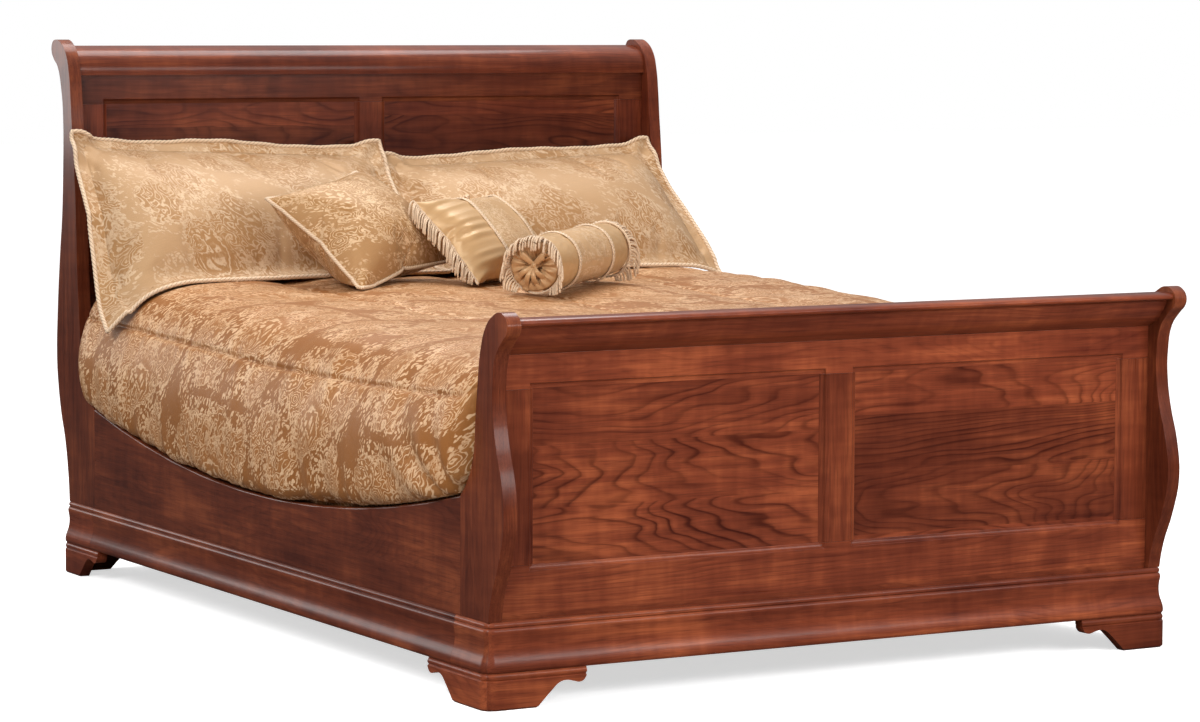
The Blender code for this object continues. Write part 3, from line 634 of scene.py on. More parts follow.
def scrollwork(g, uv, repeat, tall, seed):
    """The damask's two masks: the gold fill of its figures and the bright lines drawn in them.

    uv is in metres. Half-drop repeat of a leaning paisley wound like a fern, with bouquets of
    roses and curled leaves round it and florets scattered along their edges.
    """
    u, v = g.split(uv)[:2]
    free = g.join(u, v, seed)
    lx, ly = g.drift(free, 5.0, 1.0)
    a = g.div(g.mad(lx, 0.060, g.mad(u, 0.42, v)), tall)
    b = g.div(g.mad(ly, 0.060, u), repeat)
    column = g.floor(a)
    b = g.add(b, g.fract(g.mul(column, 0.5)))
    a = g.mul(g.sub(g.fract(a), 0.5), tall)
    b = g.mul(g.sub(g.fract(b), 0.5), repeat)
    size = repeat / 0.36
    here = g.join(a, b, seed)
    verge = g.least(g.sub(0.5 * tall, g.absolute(a)), g.sub(0.5 * repeat, g.absolute(b)))
    bx, by = g.drift(here, 20.0 / size, 2.0)
    a = g.mad(bx, 0.050 * size, a)
    b = g.mad(by, 0.050 * size, b)

    def band(value, centre, width, soft=0.45):
        return g.range(g.absolute(g.sub(value, centre)), width, width * soft)

    def around(cx, cy):
        x, y = g.sub(a, cx), g.sub(b, cy)
        return g.root(g.add(g.mul(x, x), g.mul(y, y))), g.arctan(y, x)

    swirl = g.noise(here, 34.0 / size, 1.0, 0.5)
    curl = band(g.fract(g.mul(swirl, 8.0)), 0.5, 0.22)
    wobble = g.noise(here, 80.0 / size, 1.0, 0.5)
    cell = g.cells(here, 27.0 / size)
    rose = band(g.fract(g.mad(wobble, 1.5, g.mul(cell["Distance"], 5.6))), 0.5, 0.22)
    pick = g.node("ShaderNodeSeparateColor", {0: cell["Color"]}).outputs[0]
    lines = g.mix(g.range(pick, 0.48, 0.50), curl, rose)
    # paisleys: a spiral heart inside teardrop-shaped filaments
    fields = []
    for cx, cy, reach, aim, twist, wind in PAISLEYS:
        cx, cy, reach, twist = cx * size, cy * size, reach * size, twist / size
        r, angle = around(cx, cy)
        turn = g.mad(r, -twist, g.sub(angle, aim))
        turn = g.arctan(g.sine(turn), g.cosine(turn))
        drop = g.mad(g.cosine(turn), 0.42, 0.58)
        q = g.div(r, g.mul(drop, reach))
        winding = g.add(g.mad(q, 5.6, g.mul(wobble, 1.3)), g.mul(angle, wind / (2 * pi)))
        filament = band(g.fract(winding), 0.5, 0.19)
        # every other turn is broken into leaves
        odd = g.fract(g.mul(g.floor(winding), 0.5))
        leaves = g.range(g.sine(g.mad(q, 10.0, g.mul(angle, 13.0))), -0.35, 0.15)
        wide = band(g.fract(winding), 0.5, 0.42)
        filament = g.mix(g.above(odd, 0.25), filament, g.mul(wide, leaves))
        filament = g.mix(g.range(q, 0.80, 0.74), lines, filament)
        lines = g.mix(g.range(q, 1.02, 0.98), lines, filament)
        fields.append(g.mul(g.sub(1.05, q), 2.0))
    for cx, cy, reach, lobes in BOUQUETS:
        r, angle = around(cx * size, cy * size)
        lobe = g.mad(g.cosine(g.mul(angle, lobes)), 0.008 * size, reach * size)
        fields.append(g.div(g.sub(lobe, r), 0.030 * size))
    field = reduce(g.most, fields)
    ragged = g.noise(here, 46.0 / size, 2.0, 0.65)
    field = g.add(field, g.mul(g.sub(ragged, 0.5), 2.4))
    field = g.sub(field, g.range(verge, 0.013 * size, 0.0, 0.0, 3.0))
    fill = g.range(field, -0.30, -0.10)
    # the figures are lace-like: the ground shows through them in small leaf-shaped gaps
    lace = g.noise(here, 62.0 / size, 2.0, 0.6, 0.8)
    open_fill = g.mul(fill, g.range(lace, 0.38, 0.46, 0.30, 1.0))
    leafy = g.join(g.mul(a, 1.45), g.mad(a, 0.5, b), seed)
    dots = g.range(g.cells(leafy, 92.0 / size)["Distance"], 0.46, 0.38)
    # florets crowd round the figures, and stray sprigs cross the ground between them
    outside = g.range(field, 0.6, 0.2)
    rim = g.mul(g.range(field, -1.9, -1.3), outside)
    stray = g.mul(g.range(g.noise(free, 12.0, 2.0, 0.6), 0.53, 0.59), outside)
    florets = g.mul(dots, g.most(rim, stray))
    lines = g.most(g.mul(lines, fill), florets)
    lines = g.most(lines, g.mul(band(field, 0.0, 0.16), 0.8))
    lines = g.mul(lines, g.range(g.noise(free, 150.0, 2.0, 0.6), 0.25, 0.45), clamp=True)
    lines = g.mul(lines, g.range(g.noise(free, 9.0), 0.25, 0.60, 0.55, 1.0), clamp=True)
    return g.most(open_fill, florets), lines


YARN_PITCH = 0.0011
GROUND_ROUGH, FILL_ROUGH, FIGURE_ROUGH = 0.44, 0.38, 0.30


def damask(name, ground, fill, figure, repeat, tall, seed=0.0):
    """Jacquard: a ribbed ground, gold-filled figures and bright satin lines in them."""
    g = Graph(name)
    uv = g.cloth_uv()
    filled, lines = scrollwork(g, uv, repeat, tall, seed)
    u, v = g.split(uv)[:2]
    slub = g.noise(g.join(g.mul(u, 40.0), g.mul(v, 900.0), seed), 1.0)
    fine = g.noise(g.join(u, v, seed), 420.0, 1.0)
    colour = g.mix(lines, g.mix(filled, ground, fill), figure)
    colour = g.shaded(colour, g.add(g.mad(slub, 0.24, 0.80), g.mad(fine, 0.20, -0.02)))
    gloss = g.mad(lines, FIGURE_ROUGH - FILL_ROUGH, g.mad(filled, FILL_ROUGH - GROUND_ROUGH, GROUND_ROUGH))
    ribs = 2 * pi / YARN_PITCH
    weave = g.mul(g.sine(g.mul(u, ribs)), g.sine(g.mul(v, ribs)))
    height = g.add(g.add(lines, g.mul(weave, 0.15)), g.mul(fine, 0.25))
    return g.finish(Base_Color=colour, Roughness=gloss, Normal=g.bump(height, 0.0005, 0.5), Sheen_Weight=0.02,
                    Sheen_Roughness=0.45, Sheen_Tint=(1.0, 0.86, 0.66, 1.0), Specular_IOR_Level=0.5,
                    Specular_Tint=(1.0, 0.72, 0.42, 1.0))


def satin(name, colour, rough, seed):
    """Smooth satin: long floats give a soft directional gloss."""
    g = Graph(name)
    u, v = g.split(g.cloth_uv())[:2]
    thread = g.noise(g.join(g.mul(u, 60.0), g.mul(v, 1300.0), seed), 1.0, 2.0, 0.6)
    slub = g.noise(g.join(g.mul(u, 9.0), g.mul(v, 160.0), seed), 1.0, 3.0, 0.6)
    tint = g.shaded(colour, g.add(g.mad(slub, 0.16, 0.84), g.mul(thread, 0.10)))
    return g.finish(Base_Color=tint, Roughness=g.mad(thread, 0.10, rough),
                    Normal=g.bump(thread, 0.0003, 0.4), Sheen_Weight=0.06, Sheen_Roughness=0.35,
                    Sheen_Tint=(1.0, 0.88, 0.70, 1.0), Specular_IOR_Level=1.0,
                    Specular_Tint=(1.0, 0.80, 0.54, 1.0), Anisotropic=0.35)


def cord_yarn(name, light, dark, strands=3):
    """Twisted rayon cord: bright yarns, with painted shade where two strands meet. UVs are turns and angle/360."""
    g = Graph(name)
    u, v = g.split(g.cloth_uv())[:2]
    lobe = g.absolute(g.cosine(g.mul(g.sub(v, u), pi * strands)))
    speck = g.noise(g.place(), 600.0, 2.0, 0.6)
    level = g.mad(speck, 0.35, g.mul(g.power(lobe, 0.6), 0.75))
    # the ramp's dark end is painted shade in the valleys where strands meet; the speckle is the yarn's own
    colour = g.ramp(level, [(0.20, dark), (0.70, light)])
    return g.finish(Base_Color=colour, Roughness=0.45, Normal=g.bump(g.add(level, speck), 0.0006, 0.6),
                    Sheen_Weight=0.15, Sheen_Roughness=0.4, Sheen_Tint=(1.0, 0.9, 0.75, 1.0))


def ticking():
    """Woven ivory mattress cloth with a raised diamond stitch."""
    g = Graph("ticking")
    where = g.place()
    x, y, z = g.split(where)
    across = g.add(x, y)
    k = 2 * pi / 0.085
    one = g.sine(g.mul(g.add(across, z), k))
    two = g.sine(g.mul(g.sub(across, z), k))
    quilt = g.absolute(g.mul(one, two))
    yarn = g.noise(where, 380.0, 2.0, 0.5)
    soft = g.noise(where, 9.0, 3.0, 0.5)
    colour = g.ramp(g.add(g.mul(soft, 0.6), g.mul(yarn, 0.4)),
                    [(0.3, (0.47, 0.41, 0.32)), (0.7, (0.62, 0.56, 0.46))])
    height = g.add(g.power(quilt, 0.5), g.mul(yarn, 0.08))
    return g.finish(Base_Color=colour, Roughness=0.85, Normal=g.bump(height, 0.004, 0.8), Sheen_Weight=0.2)


# damask colours: ground, gold fill, bright lines
BRONZE = (0.285, 0.105, 0.027), (0.352, 0.142, 0.043), (0.700, 0.445, 0.255)
GOLD = (0.425, 0.255, 0.132), (0.340, 0.176, 0.072), (0.560, 0.388, 0.246)
AMBER = (0.365, 0.195, 0.082), (0.330, 0.165, 0.060), (0.640, 0.440, 0.265)
# pale gold, made lighter to stand in for a glossy highlight: partly the cloth's own colour, partly painted highlight
STRAW_AND_PAINTED_HIGHLIGHT = (0.500, 0.305, 0.155), (0.430, 0.245, 0.112), (0.660, 0.470, 0.295)
SATIN = (0.480, 0.285, 0.130)
CORD = (0.700, 0.510, 0.340)
# painted shade for the valleys between a cord's strands
CORD_PAINTED_SHADE = (0.210, 0.100, 0.038)


# ---------------------------------------------------------------- comforter

# the comforter's stitched lines, as distances over the cloth from its middle
QUILT_LINES = (-0.875, -0.44, 0.0, 0.44, 0.875)


def build_comforter():
    """Quilted comforter over the mattress, bulging over the rails and tucked inside them."""
    foot, head, close = -1.046, 0.978, 0.055
    turn = np.linspace(0, pi / 2, 9)
    spots = [*(foot + close * (1 - np.cos(turn))), *np.linspace(foot + close, head - close, 190),
             *(head - close * (1 - np.sin(turn)))]
    spots = sorted(set(round(float(y), 6) for y in spots))
    # arc positions as shares of the half width: even, with closer threads at the stitched lines
    whole = run_of(cover_section(0.0, 300))[-1]
    shares = set(np.round(np.linspace(0.0, 1.0, 88), 5))
    for seam in QUILT_LINES[2:]:
        for off in (-0.014, -0.009, -0.0055, -0.0025, 0.0, 0.0025, 0.0055, 0.009, 0.014):
            if seam + off >= 0:
                shares = {t for t in shares if abs(t * whole - seam - off) > 0.0014}
                shares.add((seam + off) / whole)
    shares = np.array(sorted(shares))
    rows, columns = len(spots), len(shares) * 2 - 1
    points = np.zeros((rows, columns, 3))
    uvs = np.zeros((rows, columns, 2))
    arc = np.zeros((rows, columns))
    for i, y in enumerate(spots):
        line = cover_section(y, 300)
        run = run_of(line)
        # stitched lines keep their distance from the middle; only the last stretch takes up the slack
        at = shares * whole
        last = 0.90
        at = np.where(at > last, last + (at - last) * (run[-1] - last) / (whole - last), at)
        line = np.column_stack([np.interp(at, run, line[:, 0]), np.interp(at, run, line[:, 1])])
        full = np.vstack([np.column_stack([-line[::-1, 0], line[::-1, 1]]), line[1:]])
        signed = np.concatenate([-at[::-1], at[1:]])
        inner = np.column_stack([np.clip(full[:, 0], -MATTRESS_HALF, MATTRESS_HALF),
                                 np.minimum(full[:, 1], MATTRESS_HIGH)])
        edge = min(1.0, (y - foot) / close, (head - y) / close)
        body = inner + (full - inner) * sqrt(max(0.0, 1.0 - (1.0 - edge) ** 2))
        points[i] = np.column_stack([body[:, 0], np.full(columns, y), body[:, 1]])
        arc[i] = signed
        uvs[i] = np.column_stack([signed + 0.07, np.full(columns, y)])
    # normals of the smooth shape, to push the quilting in and out along
    normal = unit(np.cross(np.gradient(points, axis=1), np.gradient(points, axis=0)))
    if normal[rows // 2, columns // 2, 2] < 0:
        normal = -normal
    push = np.zeros((rows, columns))
    for i, y in enumerate(spots):
        for j in range(columns):
            s = arc[i, j]
            near = min(abs(s - seam) for seam in QUILT_LINES)
            puff = 0.007 * (1.0 - exp(-(near / 0.060) ** 2)) - 0.005
            groove = -0.0065 * exp(-(near / 0.006) ** 2) * (0.55 if abs(s) < 0.6 else 1.0)
            soft = ripple(s * 3.0, y * 3.0, 0.3) * 0.008 + ripple(s * 6.9, y * 6.9, 0.69) * 0.005
            pucker = ripple(s * 9.0, y * 36.0, 1.7) * 0.0050 * exp(-(near / 0.045) ** 2)
            # creases fan out from the foot posts
            gone = abs(s) - 1.16
            away = hypot(gone, y + 1.03)
            spoke = atan2(-gone, y + 1.03)
            pucker += 0.0065 * sin(spoke * 15.0 + 1.2 * sin(away * 9.0)) * exp(-((away - 0.16) / 0.20) ** 2)
            drag = ripple(s * 7.0 + y * 5.0, y * 15.0 - s * 4.0, 5.1) * 0.0035
            beside = min(1.0, max(0.0, (abs(s) - 0.62) / 0.15))
            drag += ripple(s * 2.2, y * 10.5 + s * 2.0, 6.6) * 0.0085 * beside
            low = max(0.0, (abs(s) - 1.02) / 0.12)
            gather = ripple(3.3, y * 26.0, 8.0) * 0.006 * min(1.0, low)
            push[i, j] = puff + groove + soft + pucker + drag + gather
    edge = np.minimum(np.array(spots) - foot, head - np.array(spots))
    fade = np.clip(edge / 0.06, 0.15, 1.0)[:, None]
    inside = np.clip((np.abs(arc).max(axis=1)[:, None] - np.abs(arc)) / 0.05, 0.0, 1.0)
    points += normal * (push * fade * inside)[:, :, None]
    obj = grid_object("comforter_cover", points.reshape(-1, 3), uvs.reshape(-1, 2), sheet_faces(rows, columns),
                      damask("damask_bronze", *BRONZE, 0.36, 0.46))
    # the ends, the tucked hems and the stitched lines hold still
    fixed = np.zeros((rows, columns), bool)
    fixed[:3] = fixed[-3:] = fixed[:, :6] = fixed[:, -6:] = True
    for seam in QUILT_LINES:
        fixed |= np.abs(arc - seam) < 0.004
    settle(obj, 12, pressure=1.2, shrink=-0.035, pinned=np.nonzero(fixed.ravel())[0].tolist(), cap=0.012,
           bend=0.8, tension=12.0, quality=4)
    shape = get_points(obj.data)
    # keep it inside the posts and off the rails after the simulation
    floor_line = np.array([ledge(p[1]) for p in shape])
    over = (np.abs(shape[:, 0]) > 0.792) & (shape[:, 2] < floor_line + 0.004)
    shape[over, 2] = floor_line[over] + 0.004
    set_points(obj.data, shape)
    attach(obj, ROOT)
    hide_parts("comforter")


# ---------------------------------------------------------------- pillows

def pillow_mesh(name, width, height, rim, cells, material, bulge):
    """Two cloth faces sewn together inside a flat flange of width rim (0 for a knife edge).

    Local axes: x across, y up, z out of the front. Returns the object and its index maps.
    """
    nx, ny = cells
    xs = np.linspace(-width / 2, width / 2, nx)
    ys = np.linspace(-height / 2, height / 2, ny)
    grid_x, grid_y = np.meshgrid(xs, ys)
    in_x = np.clip(np.abs(grid_x) / (width / 2 - rim), 0, 1)
    in_y = np.clip(np.abs(grid_y) / (height / 2 - rim), 0, 1)
    dome = (1 - in_x ** 4) * (1 - in_y ** 4)
    front = np.stack([grid_x, grid_y, dome * bulge], axis=2)
    uv_front = np.stack([grid_x + width, grid_y + height], axis=2)
    points = list(front.reshape(-1, 3))
    uvs = list(uv_front.reshape(-1, 2))
    index_front = np.arange(nx * ny).reshape(ny, nx)
    body = (in_x < 0.999) & (in_y < 0.999)
    index_back = index_front.copy()
    for i in range(ny):
        for j in range(nx):
            if body[i, j]:
                index_back[i, j] = len(points)
                points.append(np.array([grid_x[i, j], grid_y[i, j], -dome[i, j] * bulge]))
                uvs.append(uv_front[i, j])
    faces = sheet_faces(ny, nx)
    for i in range(ny - 1):
        for j in range(nx - 1):
            quad = (index_back[i, j], index_back[i + 1, j], index_back[i + 1, j + 1], index_back[i, j + 1])
            same = (index_front[i, j], index_front[i + 1, j], index_front[i + 1, j + 1], index_front[i, j + 1])
            if quad != same:
                faces.append(tuple(int(k) for k in quad))
    obj = grid_object(name, points, uvs, faces, material)
    puffed = sorted(set(index_front[body]) | set(index_back[body]))
    sides = index_front[0], index_front[1:, -1], index_front[-1, -2::-1], index_front[-2:0:-1, 0]
    ring = np.concatenate(sides)
    return obj, puffed, [int(k) for k in ring], index_front, index_back


def relax(obj, flat, keep):
    """Gives back most of the width that the stuffed cloth lost; the crown and the creases stay."""
    shape = get_points(obj.data)
    shape[:, :2] = flat[:, :2] + (shape[:, :2] - flat[:, :2]) * keep
    return shape


def flat_grid(index, width, height):
    """Flat x and y of each place in an index map."""
    rows, columns = index.shape
    across = np.linspace(-width / 2, width / 2, columns), np.linspace(-height / 2, height / 2, rows)
    return np.stack(np.meshgrid(*across), axis=2)


def calm_corners(shape, index, width, height, rim, times=10):
    """Smooths the stuffed cloth where the flange turns a corner."""
    inner = np.array([width / 2, height / 2]) - rim - 0.055
    near = (np.abs(flat_grid(index, width, height)) > inner).all(axis=2)
    near[0] = near[-1] = False
    near[:, 0] = near[:, -1] = False
    grid = shape[index]
    for _ in range(times):
        mean = grid.copy()
        mean[1:-1, 1:-1] = (grid[:-2, 1:-1] + grid[2:, 1:-1] + grid[1:-1, :-2] + grid[1:-1, 2:]) / 4
        grid = np.where(near[:, :, None], mean, grid)
    shape[index] = grid


def bent_lean(points, base, rise, flat, bend, reach):
    """Carries flat cushion coordinates onto a lean: flat along the bed, then bent up by an angle.

    base is (y, z) of the bottom edge; flat is how much of the height lies down first, at the small
    angle rise; the turn to bend is spread over reach.
    """
    height = points[:, 1] - points[:, 1].min()
    table_t = np.linspace(0.0, height.max() + 0.001, 200)
    blend = np.clip((table_t - flat) / reach, 0.0, 1.0)
    angle = rise + (bend - rise) * blend * blend * (3 - 2 * blend)
    step = table_t[1] - table_t[0]
    path_y = base[0] + np.concatenate([[0.0], np.cumsum(np.cos(angle[:-1]) * step)])
    path_z = base[1] + np.concatenate([[0.0], np.cumsum(np.sin(angle[:-1]) * step)])
    here_angle = np.interp(height, table_t, angle)
    out = points.copy()
    out[:, 1] = np.interp(height, table_t, path_y) - np.sin(here_angle) * points[:, 2]
    out[:, 2] = np.interp(height, table_t, path_z) + np.cos(here_angle) * points[:, 2]
    return out


def rest_on_cover(points):
    """Lifts whatever has sunk below the comforter's upper side."""
    for p in points:
        if abs(p[0]) < OVER_BED and p[2] < 0.86 and p[1] < 0.99:
            low = cover_height(p[0], p[1]) + 0.004
            if p[2] < low:
                p[2] = low + (p[2] - low) * 0.08
    return points


SHAM_RIM = 0.040


def build_shams():
    """Two flanged shams leaning on the headboard, corded round the edge."""
    cover = damask("damask_gold", *GOLD, 0.36, 0.46, seed=2.0)
    cord = cord_yarn("cord_gold", CORD, CORD_PAINTED_SHADE)
    setup = {"left": (-0.436, 0.868, 0.515, 0.7, (0.662, 0.737), 43.5),
             "right": (0.412, 0.824, 0.485, -0.4, (0.672, 0.733), 42.0)}
    for hand, (middle, width, height, seed, base, lean_angle) in setup.items():
        obj, puffed, ring, front, back = pillow_mesh("sham_" + hand + "_cover", width, height, SHAM_RIM, (95, 61),
                                                     cover, bulge=0.058)
        shape = get_points(obj.data)
        flat = shape.copy()
        for k, p in enumerate(shape):
            p[2] += ripple(p[0] * 4.0 + seed * 7, p[1] * 4.0, seed) * 0.006
        set_points(obj.data, shape)
        settle(obj, 24, pressure=6.0, shrink=-0.03, pinned=ring, puffed=puffed, bend=0.35, tension=14.0, cap=0.11,
               quality=5)
        shape = relax(obj, flat, 0.85)
        for index in (front, back):
            calm_corners(shape, index, width, height, SHAM_RIM)
        # a soft wave in the flange, and ears that fold forward at the upper corners
        for p, q in zip(shape, flat):
            ex = abs(q[0]) / (width / 2)
            ey = abs(q[1]) / (height / 2)
            rim = min(1.0, max(0.0, (max(ex, ey) - 0.84) / 0.16))
            p[2] += rim * 0.006 * sin(q[0] * 13.0 + q[1] * 17.0 + seed * 5.0)
            p[2] += rim * 0.0012 * sin(q[0] * 61.0 - q[1] * 47.0 + seed * 9.0)
            ear = max(0.0, ex - 0.80) / 0.20 * max(0.0, q[1] / (height / 2) - 0.62) / 0.38
            p[2] += 0.020 * ear
            fold = sin((ex * 3.2 - q[1] / (height / 2) * 2.1) * 9.0)
            p[2] += 0.008 * min(1.0, ear * 3.0) * fold * (1 - rim * 0.4)
        lean = bent_lean(shape, base, radians(6.0), 0.040, radians(lean_angle), 0.075)
        lean[:, 0] += middle
        side = flat[:, 0] / (width / 2)
        high = np.clip(flat[:, 1] / height + 0.5, 0, 1)
        if hand == "left":
            # its outer low corner hangs over the bed's shoulder
            lean[:, 2] -= 0.018 * side * high
            lean[:, 0] += 0.036 * np.clip(-side, 0, 1) ** 2 * high
            drop = np.clip((-side - 0.66) / 0.34, 0, 1.1) ** 1.6 * np.clip(1 - high * 1.9, 0, 1) ** 0.8
            lean[:, 2] -= 0.114 * drop
            lean[:, 0] -= 0.004 * drop
            lean[:, 1] += 0.060 * drop
        else:
            lean[:, 2] += 0.014 * side * high
            lean[:, 0] -= 0.045 * np.clip(side, 0, 1) ** 2 * high
            drop = np.clip((side - 0.70) / 0.30, 0, 1.1) * np.clip(1 - high * 2.2, 0, 1)
            lean[:, 2] -= 0.016 * drop
        lean = rest_on_cover(lean)
        # the lower flange lies down on the comforter
        foot_share = np.clip(1.0 - high / 0.18, 0.0, 1.0) ** 0.7
        for k in np.nonzero((foot_share > 0) & (np.abs(lean[:, 0]) < OVER_BED))[0]:
            above = lean[k, 2] - cover_height(lean[k, 0], lean[k, 1]) - 0.005
            lean[k, 2] -= max(0.0, above) * 0.95 * foot_share[k]
        wide = np.abs(lean[:, 0]) > 0.785
        limit = np.interp(lean[wide, 2], [0.5, 0.75, 1.0, 1.1], [0.985, 1.010, 1.028, 1.036])
        lean[wide, 1] = np.minimum(lean[wide, 1], limit)
        lean[:, 1] = np.minimum(lean[:, 1], 1.078)
        lean[:, 0] = np.clip(lean[:, 0], -0.890, 0.890)
        set_points(obj.data, lean)
        add_modifier(obj, "cloth_thickness", "SOLIDIFY", thickness=0.0022, offset=-1.0)
        subdivide(obj)
        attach(obj, ROOT)
        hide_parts("sham_" + hand)
        rope("sham_" + hand + "_cord", lean[ring], 0.0054, 0.034, cord)


def place(points, centre, across, up):
    """Carries local cushion coordinates (x across, y up, z out) into the world."""
    across = unit(np.array(across))
    up = unit(up - np.dot(up, across) * across)
    return centre + points @ np.stack([across, up, np.cross(across, up)])


def build_square_cushion():
    """Knife-edged, corded cushion standing on a corner against the shams."""
    cover = damask("damask_cushion", *AMBER, 0.30, 0.38, seed=5.0)
    cord = cord_yarn("cord_cushion", CORD, CORD_PAINTED_SHADE)
    obj, _, ring, _, _ = pillow_mesh("square_cushion_cover", 0.375, 0.365, 0.0, (61, 59), cover, bulge=0.042)
    flat = get_points(obj.data)
    settle(obj, 22, pressure=6.0, bend=0.3, tension=12.0, cap=0.09, quality=5)
    shape = relax(obj, flat, 0.55)
    shape[:, 0] += 0.012 * np.sin(shape[:, 1] * 9.0) * np.clip(-shape[:, 0] / 0.19, 0, 1)
    world = place(shape, (-0.286, 0.572, 0.850), (0.880, 0.430, 0.150), (-0.425, 0.680, 0.595))
    world = rest_on_cover(world)
    set_points(obj.data, world)
    finish_loose(obj, "square_cushion")
    rope("square_cushion_cord", world[ring], 0.0048, 0.018, cord, body="square_cushion")


def finish_loose(obj, node):
    """Smooths a loose cushion and lets it ride on its own body."""
    subdivide(obj)
    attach(obj, node)
    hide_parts(node)


def gimp(name, path, outward, width, material, body):
    """Flat braid trim along a path: two rows of little knots side by side."""
    path = np.array(path, float)
    count = max(6, int(run_of(path)[-1] / 0.0024))
    spine = resample(path, count)
    face = unit(resample(outward, count))
    side = np.cross(face, unit(np.gradient(spine, axis=0)))
    points = np.zeros((count, 9, 3))
    uvs = np.zeros((count, 9, 2))
    for k, t in enumerate(np.linspace(-1.0, 1.0, 9)):
        lift = 0.0006 + 0.0024 * sqrt(max(0.0, 1 - t * t))
        beat = 1.0 + 0.45 * np.sin(2 * pi * (np.arange(count) / 3.2 + 0.5 * (1 if t > 0 else -1) * abs(t)))
        points[:, k] = spine + side * (t * width / 2) + face * (lift * beat)[:, None]
        uvs[:, k, 0] = np.arange(count) / 9.6
        uvs[:, k, 1] = abs(t) * 0.33
    obj = grid_object(name, points.reshape(-1, 3), uvs.reshape(-1, 2), sheet_faces(count, 9), material)
    add_modifier(obj, "backing", "SOLIDIFY", thickness=0.001, offset=0.0)
    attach(obj, body)


def fringe(name, path, first, length, material, body, fall, step, radius, seed):
    """Bullion fringe: short twisted cords that leave a seam one way and bend down under their weight."""
    dice = random.Random(seed)
    path = np.array(path, float)
    count = int(run_of(path)[-1] / step)
    parts = []
    rows = 16
    for here, way in zip(resample(path, count), resample(first, count)):
        heading = unit(way) + np.array([dice.uniform(-1, 1) for _ in range(3)]) * 0.16
        reach = length * dice.uniform(0.84, 1.08)
        drop = here[2] - cover_height(here[0], here[1])
        if drop < 0.016:
            continue
        pace = min(reach, max(0.016, drop * 0.9 + 0.008)) / (rows - 1)
        line = [here.copy()]
        for t in np.linspace(0.0, 1.0, rows - 1):
            here = here + unit(heading * (1 - t) ** 1.2 + np.array([0.0, 0.0, -fall]) * (0.12 + t)) * pace
            low = cover_height(here[0], here[1]) + radius + 0.001
            if here[2] < low and abs(here[0]) < OVER_BED:
                here[2] = low
                here[:2] += unit(heading[:2]) * pace * 0.7
            line.append(here.copy())
        parts.append(strand(line, radius * dice.uniform(0.92, 1.10)))
    obj = join_meshes(name, parts, material)
    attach(obj, body)


def build_fringed_cushion():
    """Satin end, braid, jacquard middle, with a fringe down the near edge."""
    width, height = 0.400, 0.270
    cover = damask("damask_middle", *STRAW_AND_PAINTED_HIGHLIGHT, 0.20, 0.26, seed=8.0)
    shiny = satin("satin_gold", SATIN, 0.33, 1.0)
    cord = cord_yarn("cord_fringe", CORD, CORD_PAINTED_SHADE)
    obj, _, _, front, back = pillow_mesh("fringed_cushion_cover", width, height, 0.0, (65, 91), cover, bulge=0.03)
    obj.data.materials.append(shiny)
    start = get_points(obj.data)
    settle(obj, 22, pressure=5.0, bend=0.25, tension=12.0, cap=0.085, quality=5)
    shape = relax(obj, start, 0.55)
    band = -width / 2 + 0.135
    other = width / 2 - 0.085
    flat = np.zeros((len(shape), 2))
    flat[front] = flat[back] = flat_grid(front, width, height)
    for k, p in enumerate(shape):
        u, v = flat[k]
        if u < band:
            edge = (band - u) / 0.135
            fold = sin(v * 150.0 + 1.9 * sin(v * 43.0)) * 0.5 + ripple(v * 60.0, 0.0, 4.0)
            swell = sin(pi * min(1.0, 0.12 + edge * 0.80)) ** 0.8
            p[2] += (0.0050 * fold * swell) * (1 if p[2] > 0 else -1) * (1 - (abs(v) * 2 / height) ** 4)
    set_points(obj.data, shape)
    for face in obj.data.polygons:
        face.material_index = int(not band <= flat[face.vertices, 0].mean() <= other)
    across = unit(np.array([0.840, 0.543, 0.0]))
    world = rest_on_cover(place(shape, (0.032, 0.532, 0.824), across, (-0.370, 0.570, 0.735)))
    set_points(obj.data, world)
    finish_loose(obj, "fringed_cushion")
    normals = get_points(obj.data, "normal")
    for tag, line in (("near", band), ("far", other)):
        column = int(np.argmin(np.abs(np.linspace(-width / 2, width / 2, 65) - line)))
        loop = [*front[:, column], *back[-2:0:-1, column], front[0, column]]
        gimp("fringed_cushion_braid_" + tag, world[loop], normals[loop], 0.012, cord, "fringed_cushion")
    left, right = world[front[:, 0]], world[front[:, -1]]
    first = np.tile(-across * 0.9 + np.array([0.0, -0.35, 0.10]), (len(left), 1))
    fringe("fringed_cushion_fringe", left, first, 0.056, cord, "fringed_cushion", fall=1.1, step=0.0052,
           radius=0.0025, seed=5)
    rope("fringed_cushion_edge", left, 0.0036, 0.012, cord, closed=False, body="fringed_cushion")
    rope("fringed_cushion_far_edge", right, 0.0034, 0.012, cord, closed=False, body="fringed_cushion")
    build_bow(world[int(front[-3, 36])], across, cord)


def build_bow(centre, across, material):
    """A small tied bow of cord at the top seam."""
    centre = np.array(centre) + np.array([0.0, -0.004, 0.006])
    lift = np.array([0.0, -0.5, 0.86])
    parts = []
    for sign in (-1.0, 1.0):
        loop = [centre + across * sign * 0.016 * sin(pi * t) + lift * 0.006 * sin(2 * pi * t)
                + np.array([0.0, -0.003, 0.0]) * t for t in np.linspace(0, 1, 15)]
        tail = [centre + across * sign * 0.013 * t - lift * 0.016 * t * t + np.array([0.0, -0.006, 0.002]) * t
                for t in np.linspace(0, 1, 9)]
        parts += [strand(loop, 0.0017), strand(tail, 0.0015)]
    knot = [centre + lift * 0.004 * t + np.array([0.0, -0.004, 0.0]) for t in np.linspace(-1, 1, 7)]
    parts.append(strand(knot, 0.0032, 8))
    bow = join_meshes("fringed_cushion_bow", parts, material)
    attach(bow, "fringed_cushion")


